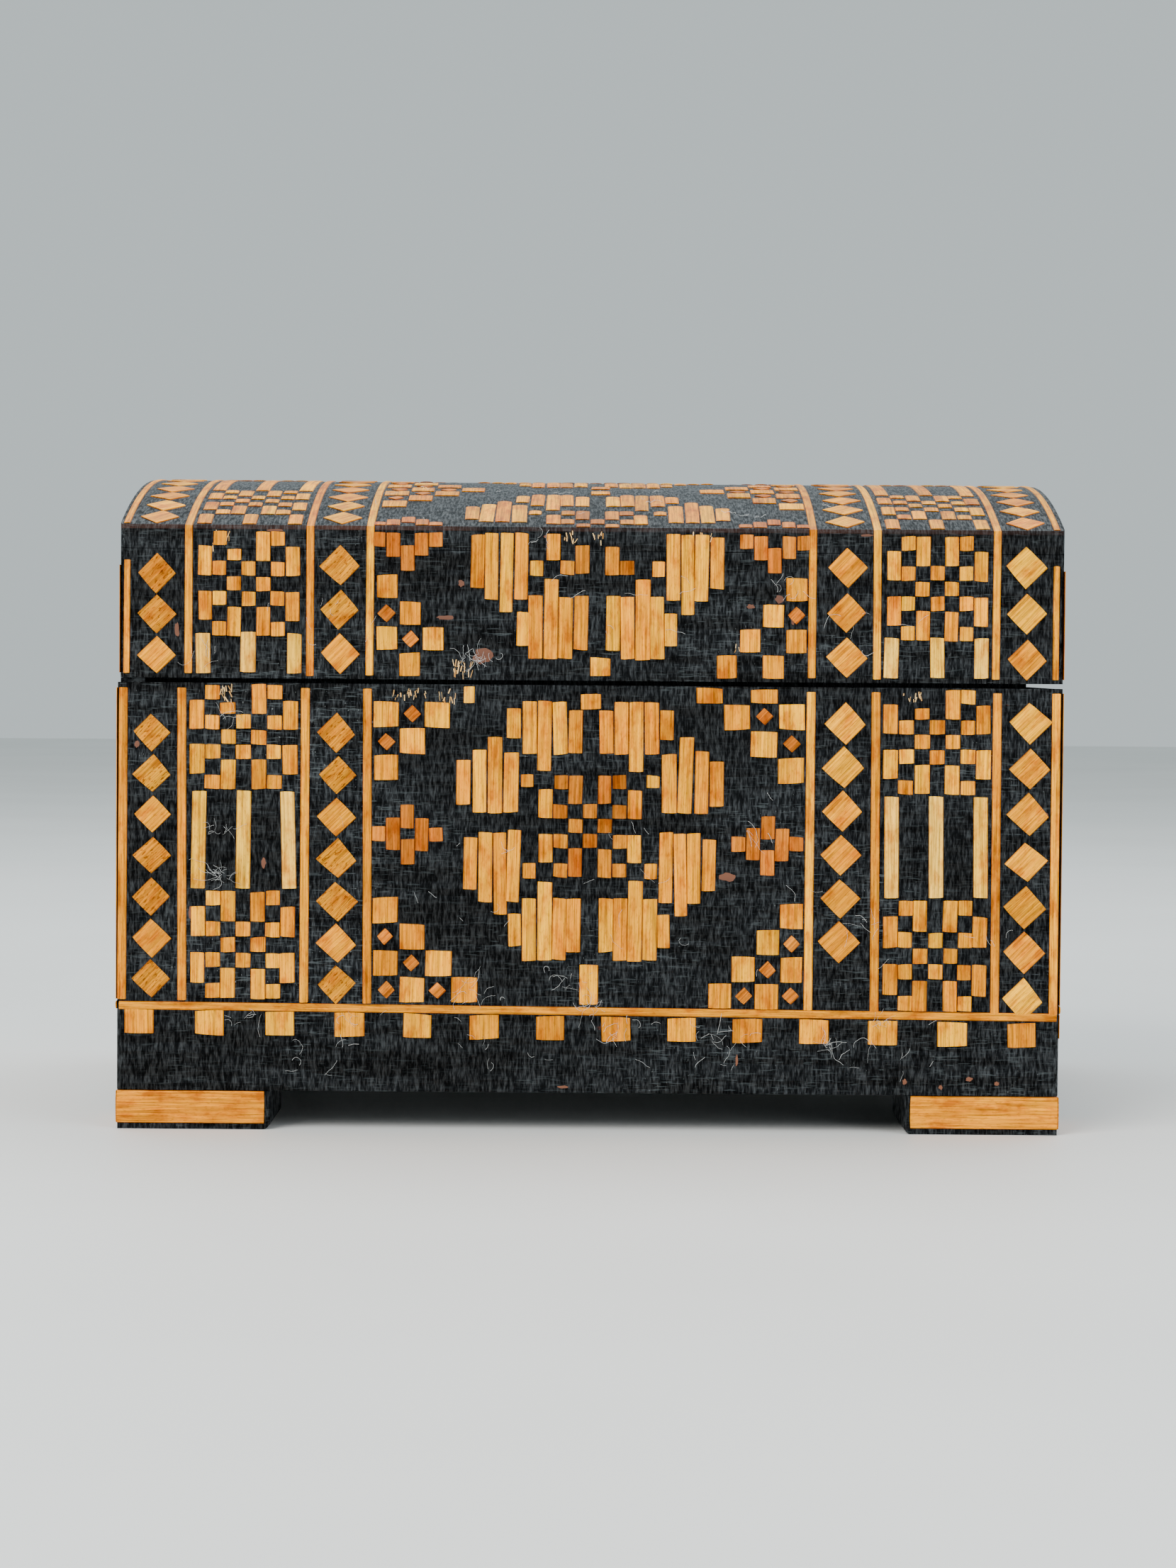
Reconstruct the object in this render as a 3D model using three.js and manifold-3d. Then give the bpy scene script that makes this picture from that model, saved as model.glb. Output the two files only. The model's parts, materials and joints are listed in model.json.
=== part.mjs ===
// Wind-up music box: a wooden casket with a low arched lid on four feet. A comb-and-cylinder movement
// stands on the inner face of the back wall, and its winding key is at the back.
// Millimetres, +Z up, front towards -Y. The origin is under the middle of the whole object.
import * as THREE from 'three';
import { mergeVertices } from 'three/addons/utils/BufferGeometryUtils.js';
import Module from 'manifold-3d';

const wasm = await Module();
wasm.setup();

// ---- Case and lid ----
const caseWidth = 180;
const caseDepth = 120;
const baseHeight = 77.8;
const footHeight = 7.5;
const footLength = 29.2;
const footDepth = 24;
const footInset = 0.2;
const footCornerRadius = 1.5;
const wallThickness = 6;
const floorThickness = 4;
const cornerRadius = 1.3;
const glueGap = 0.1;
const seamGap = 0.9;
const lidNarrowing = 0.5;
const lidFaceHeight = 28.9;
const archRise = 11.4;
const lidTopThickness = 4;
const creaseBevel = 0.5;
const liningThickness = 2;
const movementSpace = 66;
const partitionThickness = 3;
const partitionHeight = 66;
const lipThickness = 1.4;
const lipRise = 2.2;
const lipRoot = 6;
const lipClearance = 0.3;
const cleatSize = 3;
const cleatFrontGap = 2;
const cleatBackGap = 23.6;
const coverThickness = 1.5;
const coverHeight = 64;

// ---- Hinges ----
const hingeSpacing = 104;
const leafWidth = 26;
const leafHeight = 11;
const leafThickness = 0.9;
const knuckleRadius = 1.8;
const hingePinRadius = 1;
const hingeClearance = 0.12;
const knuckleGap = 0.3;
const screwHeadRadius = 1.7;
const screwHeadHeight = 0.7;
const screwShankRadius = 0.8;
const screwLength = 5;
const screwClearance = 0.15;
const leafScrewSpacing = 15;
const leafScrewShare = 0.62;
const pinOverhang = 0.4;

// ---- Movement, in its own frame: bedplate in the XY plane, +Z away from the back wall ----
const plateLength = 62;
const plateWidth = 43.6;
const plateThickness = 2.2;
const plateHeightInCase = 38.5;
const plateScrewInset = 4;
const plateScrewLength = 4.6;
const plateCornerRadius = 2;
const seatGap = 0.1;
const barrelOffset = 17.5;
const arborOffset = -0.6;
const arborRadius = 1.6;
const runningClearance = 0.1;
const ratchetThickness = 1;
const ratchetTeeth = 12;
const ratchetRadius = 5;
const ratchetToothDepth = 1;
const clickReach = 10.5;
const clickHeight = 1.4;
const clickHalfWidth = 1.2;
const clickHubRadius = 2;
const clickNoseGap = 0.4;
const layerGap = 0.3;
const barrelRadius = 9.6;
const barrelHeight = 6.7;
const barrelWall = 1;
const springTurns = 5;
const springThickness = 0.35;
const springInnerGap = 0.8;
const crownTeeth = 36;
const crownRadius = 11;
const crownFace = 2;
const crownDiscThickness = 1.2;
const crownToothHeight = 1.1;
const pinionTeeth = 12;
const cylinderRadius = 6.5;
const cylinderWall = 0.8;
const cylinderLength = 18;
const cylinderArborRadius = 0.9;
const combTeeth = 18;
const combSlot = 0.25;
const combToothLength = 9;
const combLength = 15;
const combThickness = 1;
const combTipGap = 0.9;
const combBaseWidth = 5.6;
const combScrewHeadHeight = 1;
const bracketThickness = 1.2;
const bracketHeadroom = 3.2;
const bracketHalfWidth = 4;
const bracketEar = 3;
const bracketGap = 0.8;
const crownBracketGap = 1;
const gearGap = 0.6;
const shaftEnd = 0.4;
const trainModule = 0.4;
const trainFace = 1.2;
const cylinderGearTeeth = 34;
const governorPinionTeeth = 8;
const governorArborRadius = 0.6;
const wormWheelTeeth = 20;
const wormWheelGap = 2.6;
const outerBracketGap = 2;
const postThickness = 1.6;
const postHalfWidth = 1.5;
const wormStarts = 2;
const wormPitchRadius = 1.2;
const wormThreadDepth = 0.75;
const wormClearance = 0.05;
const wormLength = 7;
const spindleRadius = 0.45;
const fanRadius = 5;
const fanHeight = 5;
const fanThickness = 0.4;
const fanHubRadius = 1.2;
const fanClearance = 0.8;
const fanWheelGap = 1;
const keyReach = 16;
const keyHubRadius = 3;
const keyHubLength = 5.4;
const keyWebHalfHeight = 3.2;
const keyEyeShare = 0.48;
const keyWingRadius = 5.4;
const keyWingSpread = 6.6;
const keyThickness = 1.7;
const keyHoleRadius = 2.3;
const escutcheonRadius = 4.6;
const escutcheonThickness = 0.5;
const escutcheonBevel = 0.4;
const stopRodRadius = 0.9;
const stopRodOffset = 3.5;
const stopRodClearance = 0.2;
const stopBlockHalfWidth = 4;
const stopBlockHeight = 7;

// How far a cutting tool runs past the face it cuts through.
const overcut = 1;

// ---- Worked out from the sizes above ----
const halfWidth = caseWidth / 2;
const halfDepth = caseDepth / 2;
const innerX = halfWidth - wallThickness;
const innerY = halfDepth - wallThickness;
const rimHeight = footHeight + baseHeight;
const floorTop = footHeight + floorThickness;
const lidBottom = rimHeight + seamGap;
const creaseHeight = lidBottom + lidFaceHeight;
const lidWidth = caseWidth - lidNarrowing;
const lidMiddle = lidNarrowing / 2;
const archRadius = (halfDepth * halfDepth + archRise * archRise) / (2 * archRise);
const archCentre = creaseHeight + archRise - archRadius;
const partitionRight = innerX - movementSpace;
const partitionLeft = partitionRight - partitionThickness;
const hingeAxisY = halfDepth + glueGap + knuckleRadius;
const hingeAxisZ = rimHeight + seamGap / 2;
const backThrough = wallThickness + seatGap;

const wood = { color: 0x1b1c1e, roughness: 0.5, metalness: 0 };
const rawWood = { color: 0x8a6a45, roughness: 0.7, metalness: 0 };
const velvet = { color: 0x5c1220, roughness: 0.95, metalness: 0 };
const clear = { color: 0xdfe8ea, roughness: 0.08, metalness: 0, transparent: true, opacity: 0.3 };
const brass = { color: 0xb08d45, roughness: 0.32, metalness: 1 };
const steel = { color: 0xa9adb2, roughness: 0.28, metalness: 1 };
const darkSteel = { color: 0x55585c, roughness: 0.4, metalness: 1 };

const model = new THREE.Group();
model.position.y = -keyReach / 2;

// ---- Helpers ----
function addMesh(group, name, geometry, look) {
  const mesh = new THREE.Mesh(geometry, new THREE.MeshStandardMaterial(look));
  mesh.name = name;
  group.add(mesh);
  return mesh;
}

function toSolid(geometry) {
  const bare = geometry.clone();
  bare.deleteAttribute('normal');
  bare.deleteAttribute('uv');
  const merged = mergeVertices(bare, 1e-4);
  const vertProperties = merged.attributes.position.array;
  const triVerts = new Uint32Array(merged.index.array);
  return new wasm.Manifold(new wasm.Mesh({ numProp: 3, vertProperties, triVerts }));
}

function toGeometry(solid) {
  const mesh = solid.getMesh();
  const geometry = new THREE.BufferGeometry();
  geometry.setAttribute('position', new THREE.BufferAttribute(mesh.vertProperties, 3));
  geometry.setIndex(new THREE.BufferAttribute(mesh.triVerts, 1));
  geometry.computeVertexNormals();
  return geometry;
}

const cut = (geometry, tools) =>
  toGeometry(tools.reduce((solid, tool) => solid.subtract(toSolid(tool)), toSolid(geometry)));

const join = (geometries) =>
  toGeometry(geometries.slice(1).reduce((solid, part) => solid.add(toSolid(part)), toSolid(geometries[0])));

const common = (a, b) => toGeometry(toSolid(a).intersect(toSolid(b)));

function box(x0, x1, y0, y1, z0, z1) {
  const geometry = new THREE.BoxGeometry(x1 - x0, y1 - y0, z1 - z0);
  return geometry.translate((x0 + x1) / 2, (y0 + y1) / 2, (z0 + z1) / 2);
}

// An extrusion along Z of a shape in XY.
function alongZ(shape, z0, z1, curveSegments = 12) {
  const options = { depth: z1 - z0, bevelEnabled: false, curveSegments };
  return new THREE.ExtrudeGeometry(shape, options).translate(0, 0, z0);
}

// An extrusion along X of a shape whose own axes are Y and Z.
function alongX(shape, x0, x1, curveSegments = 12) {
  const turn = new THREE.Matrix4().makeBasis(
    new THREE.Vector3(0, 1, 0), new THREE.Vector3(0, 0, 1), new THREE.Vector3(1, 0, 0));
  return alongZ(shape, x0, x1, curveSegments).applyMatrix4(turn);
}

// An extrusion along Y of a shape whose own axes are X and Z.
function alongY(shape, y0, y1, curveSegments = 12) {
  return alongZ(shape, -y1, -y0, curveSegments).rotateX(Math.PI / 2);
}

function rodZ(radius, x, y, z0, z1, sides = 16) {
  const geometry = new THREE.CylinderGeometry(radius, radius, z1 - z0, sides);
  return geometry.rotateX(Math.PI / 2).translate(x, y, (z0 + z1) / 2);
}

function rodX(radius, x0, x1, y, z, sides = 16) {
  const geometry = new THREE.CylinderGeometry(radius, radius, x1 - x0, sides);
  return geometry.rotateZ(Math.PI / 2).translate((x0 + x1) / 2, y, z);
}

function rodY(radius, x, y0, y1, z, sides = 16) {
  return new THREE.CylinderGeometry(radius, radius, y1 - y0, sides).translate(x, (y0 + y1) / 2, z);
}

// A profile of [radius, height] points turned about Z.
function turned(points, sides = 24) {
  const profile = points.map(([radius, height]) => new THREE.Vector2(radius, height));
  return new THREE.LatheGeometry(profile, sides).rotateX(Math.PI / 2);
}

function polygon(points) {
  return new THREE.Shape(points.map(([x, y]) => new THREE.Vector2(x, y)));
}

function roundedRectangle(x0, x1, y0, y1, radius) {
  const shape = new THREE.Shape();
  shape.moveTo(x0 + radius, y0);
  shape.absarc(x1 - radius, y0 + radius, radius, -Math.PI / 2, 0);
  shape.absarc(x1 - radius, y1 - radius, radius, 0, Math.PI / 2);
  shape.absarc(x0 + radius, y1 - radius, radius, Math.PI / 2, Math.PI);
  shape.absarc(x0 + radius, y0 + radius, radius, Math.PI, 1.5 * Math.PI);
  return shape;
}

// A slotted screw with its head's underside at z = 0 and its shank along -Z.
function screw(headRadius, headHeight, shankRadius, length) {
  const body = turned([
    [0, -length], [shankRadius, -length + shankRadius], [shankRadius, 0], [headRadius, 0],
    [headRadius, headHeight * 0.4], [headRadius * 0.7, headHeight * 0.85], [0, headHeight],
  ], 16);
  const slotWidth = headRadius * 0.22;
  return cut(body, [box(-headRadius, headRadius, -slotWidth, slotWidth, headHeight * 0.5, headHeight * 2)]);
}

// ---- Case ----
const caseOutline = roundedRectangle(-halfWidth, halfWidth, -halfDepth, halfDepth, cornerRadius);

function caseBoard(x0, x1, y0, y1) {
  const envelope = alongZ(caseOutline, footHeight, rimHeight, 4);
  return common(box(x0, x1, y0, y1, footHeight, rimHeight), envelope);
}

const hingeMiddles = [-hingeSpacing / 2, hingeSpacing / 2];
const leafScrewOffsets = [-leafScrewSpacing / 2, leafScrewSpacing / 2];
const leafScrewDrop = leafHeight * leafScrewShare;
const screwHoleRadius = screwShankRadius + screwClearance;

function leafScrewHoles(z) {
  const bottom = halfDepth - screwLength - screwClearance;
  return hingeMiddles.flatMap((middle) =>
    leafScrewOffsets.map((offset) =>
      rodY(screwHoleRadius, middle + offset, bottom, halfDepth + overcut, z, 12)));
}

const movementX = (partitionRight + innerX) / 2;
const movementZ = footHeight + plateHeightInCase;
const plateScrewX = plateLength / 2 - plateScrewInset;
const plateScrewY = plateWidth / 2 - plateScrewInset;
const plateScrews = [
  [-plateScrewX, -plateScrewY], [-plateScrewX, plateScrewY], [plateScrewX, -plateScrewY],
];

function backWall() {
  const near = innerY - overcut;
  const far = halfDepth + overcut;
  const keyHole = rodY(keyHoleRadius, movementX - barrelOffset, near, far, movementZ + arborOffset);
  const plateHoles = plateScrews.map(([x, y]) =>
    rodY(screwHoleRadius, movementX + x, near, innerY + plateScrewLength, movementZ + y, 12));
  const board = caseBoard(-halfWidth, halfWidth, innerY, halfDepth);
  return cut(board, [keyHole, ...plateHoles, ...leafScrewHoles(hingeAxisZ - leafScrewDrop)]);
}

// A thin lip stands inside the front wall's top edge and closes the seam against light.
function frontWall() {
  const outer = -innerY;
  const inner = outer + lipClearance + lipThickness;
  const left = lidInnerLeft + lipClearance;
  const right = innerX - lipClearance;
  const root = box(left, right, outer - overcut, inner, rimHeight - lipRoot, rimHeight);
  const lip = box(left, right, outer + lipClearance, inner, rimHeight - lipRoot, rimHeight + lipRise);
  return join([caseBoard(-halfWidth, halfWidth, -halfDepth, outer), root, lip]);
}

function foot(sideX, sideY) {
  const shape = new THREE.Shape();
  shape.moveTo(0, 0);
  shape.lineTo(footLength - footCornerRadius, 0);
  shape.absarc(footLength - footCornerRadius, footCornerRadius, footCornerRadius, -Math.PI / 2, 0);
  shape.lineTo(footLength, footHeight - glueGap);
  shape.lineTo(0, footHeight - glueGap);
  const block = alongY(shape, 0, footDepth, 4);
  if (sideX > 0) {
    block.rotateZ(Math.PI).translate(0, footDepth, 0);
  }
  const outerX = sideX * (halfWidth - footInset);
  const outerY = sideY * (halfDepth - footInset);
  return block.translate(outerX, sideY > 0 ? outerY - footDepth : outerY, 0);
}

function buildCase(group) {
  addMesh(group, 'front_wall', frontWall(), wood);
  addMesh(group, 'back_wall', backWall(), wood);
  addMesh(group, 'left_wall', caseBoard(-halfWidth, -innerX, glueGap - innerY, innerY - glueGap), wood);
  addMesh(group, 'right_wall', caseBoard(innerX, halfWidth, glueGap - innerY, innerY - glueGap), wood);
  const insideX = innerX - glueGap;
  const insideY = innerY - glueGap;
  addMesh(group, 'bottom_board', box(-insideX, insideX, -insideY, insideY, footHeight, floorTop), wood);
  addMesh(group, 'foot_front_left', foot(-1, -1), wood);
  addMesh(group, 'foot_front_right', foot(1, -1), wood);
  addMesh(group, 'foot_back_left', foot(-1, 1), wood);
  addMesh(group, 'foot_back_right', foot(1, 1), wood);
  const standing = floorTop + glueGap;
  const partitionTop = floorTop + partitionHeight;
  const partition = box(partitionLeft, partitionRight, -insideY, insideY, standing, partitionTop);
  addMesh(group, 'partition', partition, rawWood);
  const trayRight = partitionLeft - glueGap;
  const tray = box(-insideX, trayRight, -insideY, insideY, standing, partitionTop);
  const hollow = box(-insideX + liningThickness, trayRight - liningThickness, -insideY + liningThickness,
    insideY - liningThickness, standing + liningThickness, partitionTop + overcut);
  addMesh(group, 'jewel_lining', cut(tray, [hollow]), velvet);
}

// ---- Clear cover over the movement ----
const coverBottom = floorTop + coverHeight;

function cleat(x0) {
  const top = coverBottom - glueGap;
  return box(x0, x0 + cleatSize, cleatFrontGap - innerY, innerY - cleatBackGap, top - cleatSize, top);
}

function buildCover(group) {
  const left = partitionRight + glueGap;
  const right = innerX - glueGap;
  const reach = innerY - glueGap;
  const coverTop = coverBottom + coverThickness;
  addMesh(group, 'cover_cleat_left', cleat(left), rawWood);
  addMesh(group, 'cover_cleat_right', cleat(right - cleatSize), rawWood);
  const plate = box(left, right, -reach, reach, coverBottom, coverTop);
  const guideRadius = stopRodRadius + stopRodClearance;
  const guide = rodZ(guideRadius, stopRodX, stopRodY, coverBottom - overcut, coverTop + overcut);
  addMesh(group, 'movement_cover', cut(plate, [guide]), clear);
}

// ---- Lid ----
const lidLeft = lidMiddle - lidWidth / 2;
const lidRight = lidMiddle + lidWidth / 2;
const lidInnerLeft = lidLeft + wallThickness;
const lidInnerRight = lidRight - wallThickness;
const archSegments = 24;

const archHeight = (y, radius) => archCentre + Math.sqrt(radius * radius - y * y);

function lidEnvelope() {
  const outline = roundedRectangle(lidLeft, lidRight, -halfDepth, halfDepth, cornerRadius);
  return alongZ(outline, lidBottom, creaseHeight + archRise + overcut, 4);
}

function lidTop() {
  const innerRadius = archRadius - lidTopThickness;
  const outerStart = Math.asin((halfDepth - creaseBevel) / archRadius);
  const innerStart = Math.asin(halfDepth / innerRadius);
  const edge = creaseHeight - creaseBevel;
  const shape = new THREE.Shape();
  shape.moveTo(halfDepth, archHeight(halfDepth, innerRadius));
  shape.lineTo(halfDepth, edge);
  shape.lineTo(halfDepth - creaseBevel, archHeight(halfDepth - creaseBevel, archRadius));
  shape.absarc(0, archCentre, archRadius, Math.PI / 2 - outerStart, Math.PI / 2 + outerStart);
  shape.lineTo(-halfDepth, edge);
  shape.lineTo(-halfDepth, archHeight(halfDepth, innerRadius));
  shape.absarc(0, archCentre, innerRadius, Math.PI / 2 + innerStart, Math.PI / 2 - innerStart, true);
  return common(alongX(shape, lidLeft, lidRight, archSegments), lidEnvelope());
}

function lidRail(side) {
  const under = archRadius - lidTopThickness - glueGap;
  const outer = side * halfDepth;
  const inner = side * innerY;
  const innerTop = archHeight(innerY, under);
  const outerTop = archHeight(halfDepth, under);
  const corners = [[outer, lidBottom], [inner, lidBottom], [inner, innerTop], [outer, outerTop]];
  const shape = polygon(side < 0 ? corners : corners.reverse());
  return common(alongX(shape, lidLeft, lidRight), lidEnvelope());
}

function lidEnd(x0, x1) {
  const under = archRadius - lidTopThickness - glueGap;
  const reach = innerY - glueGap;
  const start = Math.asin(reach / under);
  const shape = new THREE.Shape();
  shape.moveTo(-reach, lidBottom);
  shape.lineTo(reach, lidBottom);
  shape.absarc(0, archCentre, under, Math.PI / 2 - start, Math.PI / 2 + start);
  return alongX(shape, x0, x1, archSegments);
}

function lidLining() {
  const outer = archRadius - lidTopThickness - 2 * glueGap;
  const inner = outer - liningThickness;
  const reach = innerY - 2 * glueGap;
  const outerStart = Math.asin(reach / outer);
  const innerStart = Math.asin(reach / inner);
  const shape = new THREE.Shape();
  shape.absarc(0, archCentre, outer, Math.PI / 2 - outerStart, Math.PI / 2 + outerStart);
  shape.absarc(0, archCentre, inner, Math.PI / 2 + innerStart, Math.PI / 2 - innerStart, true);
  return alongX(shape, lidInnerLeft + glueGap, lidInnerRight - glueGap, archSegments);
}

function buildLid(group) {
  addMesh(group, 'lid_top', lidTop(), wood);
  addMesh(group, 'lid_front_rail', lidRail(-1), wood);
  const backRail = cut(lidRail(1), leafScrewHoles(hingeAxisZ + leafScrewDrop));
  addMesh(group, 'lid_back_rail', backRail, wood);
  addMesh(group, 'lid_left_end', lidEnd(lidLeft, lidInnerLeft), wood);
  addMesh(group, 'lid_right_end', lidEnd(lidInnerRight, lidRight), wood);
  addMesh(group, 'lid_lining', lidLining(), velvet);
  const blockBottom = lidBottom + layerGap;
  const blockTop = blockBottom + stopBlockHeight;
  const block = box(stopRodX - stopBlockHalfWidth, lidInnerRight - glueGap,
    stopRodY - stopBlockHalfWidth, stopRodY + stopBlockHalfWidth, blockBottom, blockTop);
  addMesh(group, 'lid_stop_block', block, rawWood);
}

// ---- Hinges ----
// A leaf on the back face: side -1 hangs below the hinge axis, on the case; +1 stands above it, on the lid.
function hingeLeaf(middle, side) {
  const near = halfDepth + glueGap / 2;
  const far = near + leafThickness;
  const third = (leafWidth - 2 * knuckleGap) / 3;
  const outer = leafWidth / 2;
  const ends = side < 0 ? [[-outer, third - outer], [outer - third, outer]] : [[-third / 2, third / 2]];
  const span = (from, to) => [Math.min(from, to), Math.max(from, to)];
  const clearOfKnuckle = knuckleRadius + knuckleGap;
  const plate = box(middle - outer, middle + outer, near, far,
    ...span(hingeAxisZ + side * clearOfKnuckle, hingeAxisZ + side * leafHeight));
  const knuckles = ends.flatMap(([x0, x1]) => [
    box(middle + x0, middle + x1, near, far, ...span(hingeAxisZ, hingeAxisZ + side * leafHeight / 2)),
    rodX(knuckleRadius, middle + x0, middle + x1, hingeAxisY, hingeAxisZ, 20),
  ]);
  const boreRadius = hingePinRadius + hingeClearance;
  const bore = rodX(boreRadius, middle - leafWidth, middle + leafWidth, hingeAxisY, hingeAxisZ);
  const screwZ = hingeAxisZ + side * leafScrewDrop;
  const holes = leafScrewOffsets.map((offset) =>
    rodY(screwHoleRadius, middle + offset, near - overcut, far + overcut, screwZ, 12));
  return cut(join([plate, ...knuckles]), [bore, ...holes]);
}

function leafScrew(x, z) {
  const piece = screw(screwHeadRadius, screwHeadHeight, screwShankRadius, screwLength + leafThickness);
  return piece.rotateX(-Math.PI / 2).translate(x, halfDepth + glueGap + leafThickness, z);
}

function buildHinges(group) {
  hingeMiddles.forEach((middle, index) => {
    const side = ['left', 'right'][index];
    addMesh(group, `hinge_leaf_case_${side}`, hingeLeaf(middle, -1), brass);
    addMesh(group, `hinge_leaf_lid_${side}`, hingeLeaf(middle, 1), brass);
    const reach = leafWidth / 2 + pinOverhang;
    const pin = rodX(hingePinRadius, middle - reach, middle + reach, hingeAxisY, hingeAxisZ);
    addMesh(group, `hinge_pin_${side}`, pin, steel);
    leafScrewOffsets.forEach((offset, number) => {
      const lowZ = hingeAxisZ - leafScrewDrop;
      const highZ = hingeAxisZ + leafScrewDrop;
      addMesh(group, `hinge_screw_case_${side}_${number + 1}`, leafScrew(middle + offset, lowZ), brass);
      addMesh(group, `hinge_screw_lid_${side}_${number + 1}`, leafScrew(middle + offset, highZ), brass);
    });
  });
}

// ---- Movement ----
const barrelX = -barrelOffset;
const axisY = arborOffset;
const ratchetBottom = plateThickness + layerGap;
const barrelBottom = ratchetBottom + ratchetThickness + layerGap;
const discBottom = barrelBottom + barrelHeight + glueGap;
const discTop = discBottom + crownDiscThickness;
const pinionModule = 2 * crownRadius / crownTeeth;
const pinionPitch = pinionModule * pinionTeeth / 2;
const axisZ = discTop + crownToothHeight / 2 + pinionPitch;
const pinionLeft = barrelX + crownRadius - crownFace / 2;
const pinionRight = barrelX + crownRadius + crownFace / 2;
const leftBracketX = pinionRight + crownBracketGap;
const cylinderLeft = leftBracketX + bracketThickness + bracketGap;
const cylinderRight = cylinderLeft + cylinderLength;
const rightBracketX = cylinderRight + bracketGap;
const gearLeft = rightBracketX + bracketThickness + gearGap;
const gearRight = gearLeft + trainFace;
const governorY = axisY + trainModule * (cylinderGearTeeth + governorPinionTeeth) / 2;
const wormWheelPitch = trainModule * wormWheelTeeth / 2;
const wormY = governorY + wormWheelPitch + wormPitchRadius + wormClearance;
const wormWheelLeft = gearRight + wormWheelGap;
const wormX = wormWheelLeft + trainFace / 2;
const outerBracketX = wormWheelLeft + trainFace + outerBracketGap;
const fanBottom = axisZ + wormWheelPitch + fanWheelGap;
const fanTop = fanBottom + fanHeight;
const armBottom = fanTop + fanClearance;

// The stop rod stands over the fan, beside its axis and just clear of its circle.
const stopRodX = movementX + wormX - stopRodOffset;
const stopRodY = innerY - seatGap - (fanBottom + fanTop) / 2;
const stopRodDrop = Math.sqrt((fanRadius + layerGap) ** 2 - (stopRodOffset - stopRodRadius) ** 2);
const stopRodBottom = movementZ + wormY + stopRodDrop;

// Gear tooth proportions, in modules except for the share of the pitch that a tooth fills.
const toothShare = 0.36;
const toothAddendum = 0.78;
const toothDedendum = 1.1;
const rootFlare = 0.42;
const tipTaper = 0.3;

// A straight-toothed gear outline: one tooth centred on the angle `phase`.
function gearShape(teeth, size, phase) {
  const pitchRadius = teeth * size / 2;
  const tip = pitchRadius + toothAddendum * size;
  const root = pitchRadius - toothDedendum * size;
  const step = 2 * Math.PI / teeth;
  const half = toothShare * step / 2;
  const rootHalf = half + rootFlare * size / pitchRadius;
  const tipHalf = half - tipTaper * size / pitchRadius;
  const points = [];
  for (let tooth = 0; tooth < teeth; tooth += 1) {
    const middle = phase + tooth * step;
    for (const [radius, angle] of [[root, -rootHalf], [tip, -tipHalf], [tip, tipHalf], [root, rootHalf]]) {
      points.push([radius * Math.cos(middle + angle), radius * Math.sin(middle + angle)]);
    }
  }
  return polygon(points);
}

// A gear on an axis along X, with its shape's own axes along Y and Z.
function gearOnX(teeth, size, phase, x0, x1, y, z, bore) {
  const blank = alongX(gearShape(teeth, size, phase), x0, x1).translate(0, y, z);
  return cut(blank, [rodX(bore, x0 - overcut, x1 + overcut, y, z)]);
}

function bedplate() {
  const halfLength = plateLength / 2;
  const half = plateWidth / 2;
  const outline = roundedRectangle(-halfLength, halfLength, -half, half, plateCornerRadius);
  const far = plateThickness + overcut;
  const holes = plateScrews.map(([x, y]) => rodZ(screwHoleRadius, x, y, -overcut, far, 12));
  const bore = rodZ(arborRadius + runningClearance, barrelX, axisY, -overcut, far);
  const stud = rodZ(screwShankRadius, ...clickPoint(clickPivot), plateThickness / 2, barrelBottom);
  return join([cut(alongZ(outline, 0, plateThickness, 4), [bore, ...holes]), stud]);
}

const ratchetValley = ratchetRadius - ratchetToothDepth;
const ratchetTop = ratchetBottom + ratchetThickness;

function ratchet() {
  const step = 2 * Math.PI / ratchetTeeth;
  const points = [];
  for (let tooth = 0; tooth < ratchetTeeth; tooth += 1) {
    const tip = tooth * step;
    const foot = tip + step * 0.92;
    points.push([ratchetRadius * Math.cos(tip), ratchetRadius * Math.sin(tip)]);
    points.push([ratchetValley * Math.cos(foot), ratchetValley * Math.sin(foot)]);
  }
  return alongZ(polygon(points), ratchetBottom, ratchetTop).translate(barrelX, axisY, 0);
}

// The click lies beside the ratchet, under the crown wheel's rim, and turns on a stud of the bedplate.
// Its places are [along, out]: back along the ratchet's rim from the nose, and out from the barrel's axis.
const clickAngle = -5 * 2 * Math.PI / ratchetTeeth - 0.1;
const clickPivot = [clickReach, ratchetRadius + clickHeight];

function clickPoint([along, out]) {
  return [
    barrelX + out * Math.cos(clickAngle) + along * Math.sin(clickAngle),
    axisY + out * Math.sin(clickAngle) - along * Math.cos(clickAngle),
  ];
}

function click() {
  const [pivotAlong, pivotOut] = clickPivot;
  const outline = [
    [0, ratchetValley + clickNoseGap], [1.9, ratchetRadius + 0.5], [pivotAlong, pivotOut - clickHalfWidth],
    [pivotAlong, pivotOut + clickHalfWidth], [0.2, ratchetRadius + 1.6], [-0.3, ratchetRadius + 0.9],
  ];
  const arm = alongZ(polygon(outline.map(clickPoint)), ratchetBottom, ratchetTop);
  const [x, y] = clickPoint(clickPivot);
  const hub = rodZ(clickHubRadius, x, y, ratchetBottom, ratchetTop);
  return cut(join([arm, hub]), [rodZ(screwShankRadius + runningClearance, x, y, 0, barrelBottom)]);
}

function springBarrel() {
  const bore = arborRadius + runningClearance;
  const inner = barrelRadius - barrelWall;
  const floor = barrelBottom + barrelWall;
  const top = barrelBottom + barrelHeight;
  return turned([
    [bore, barrelBottom], [barrelRadius, barrelBottom], [barrelRadius, top], [inner, top],
    [inner, floor], [bore, floor], [bore, barrelBottom],
  ], 36).translate(barrelX, axisY, 0);
}

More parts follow.
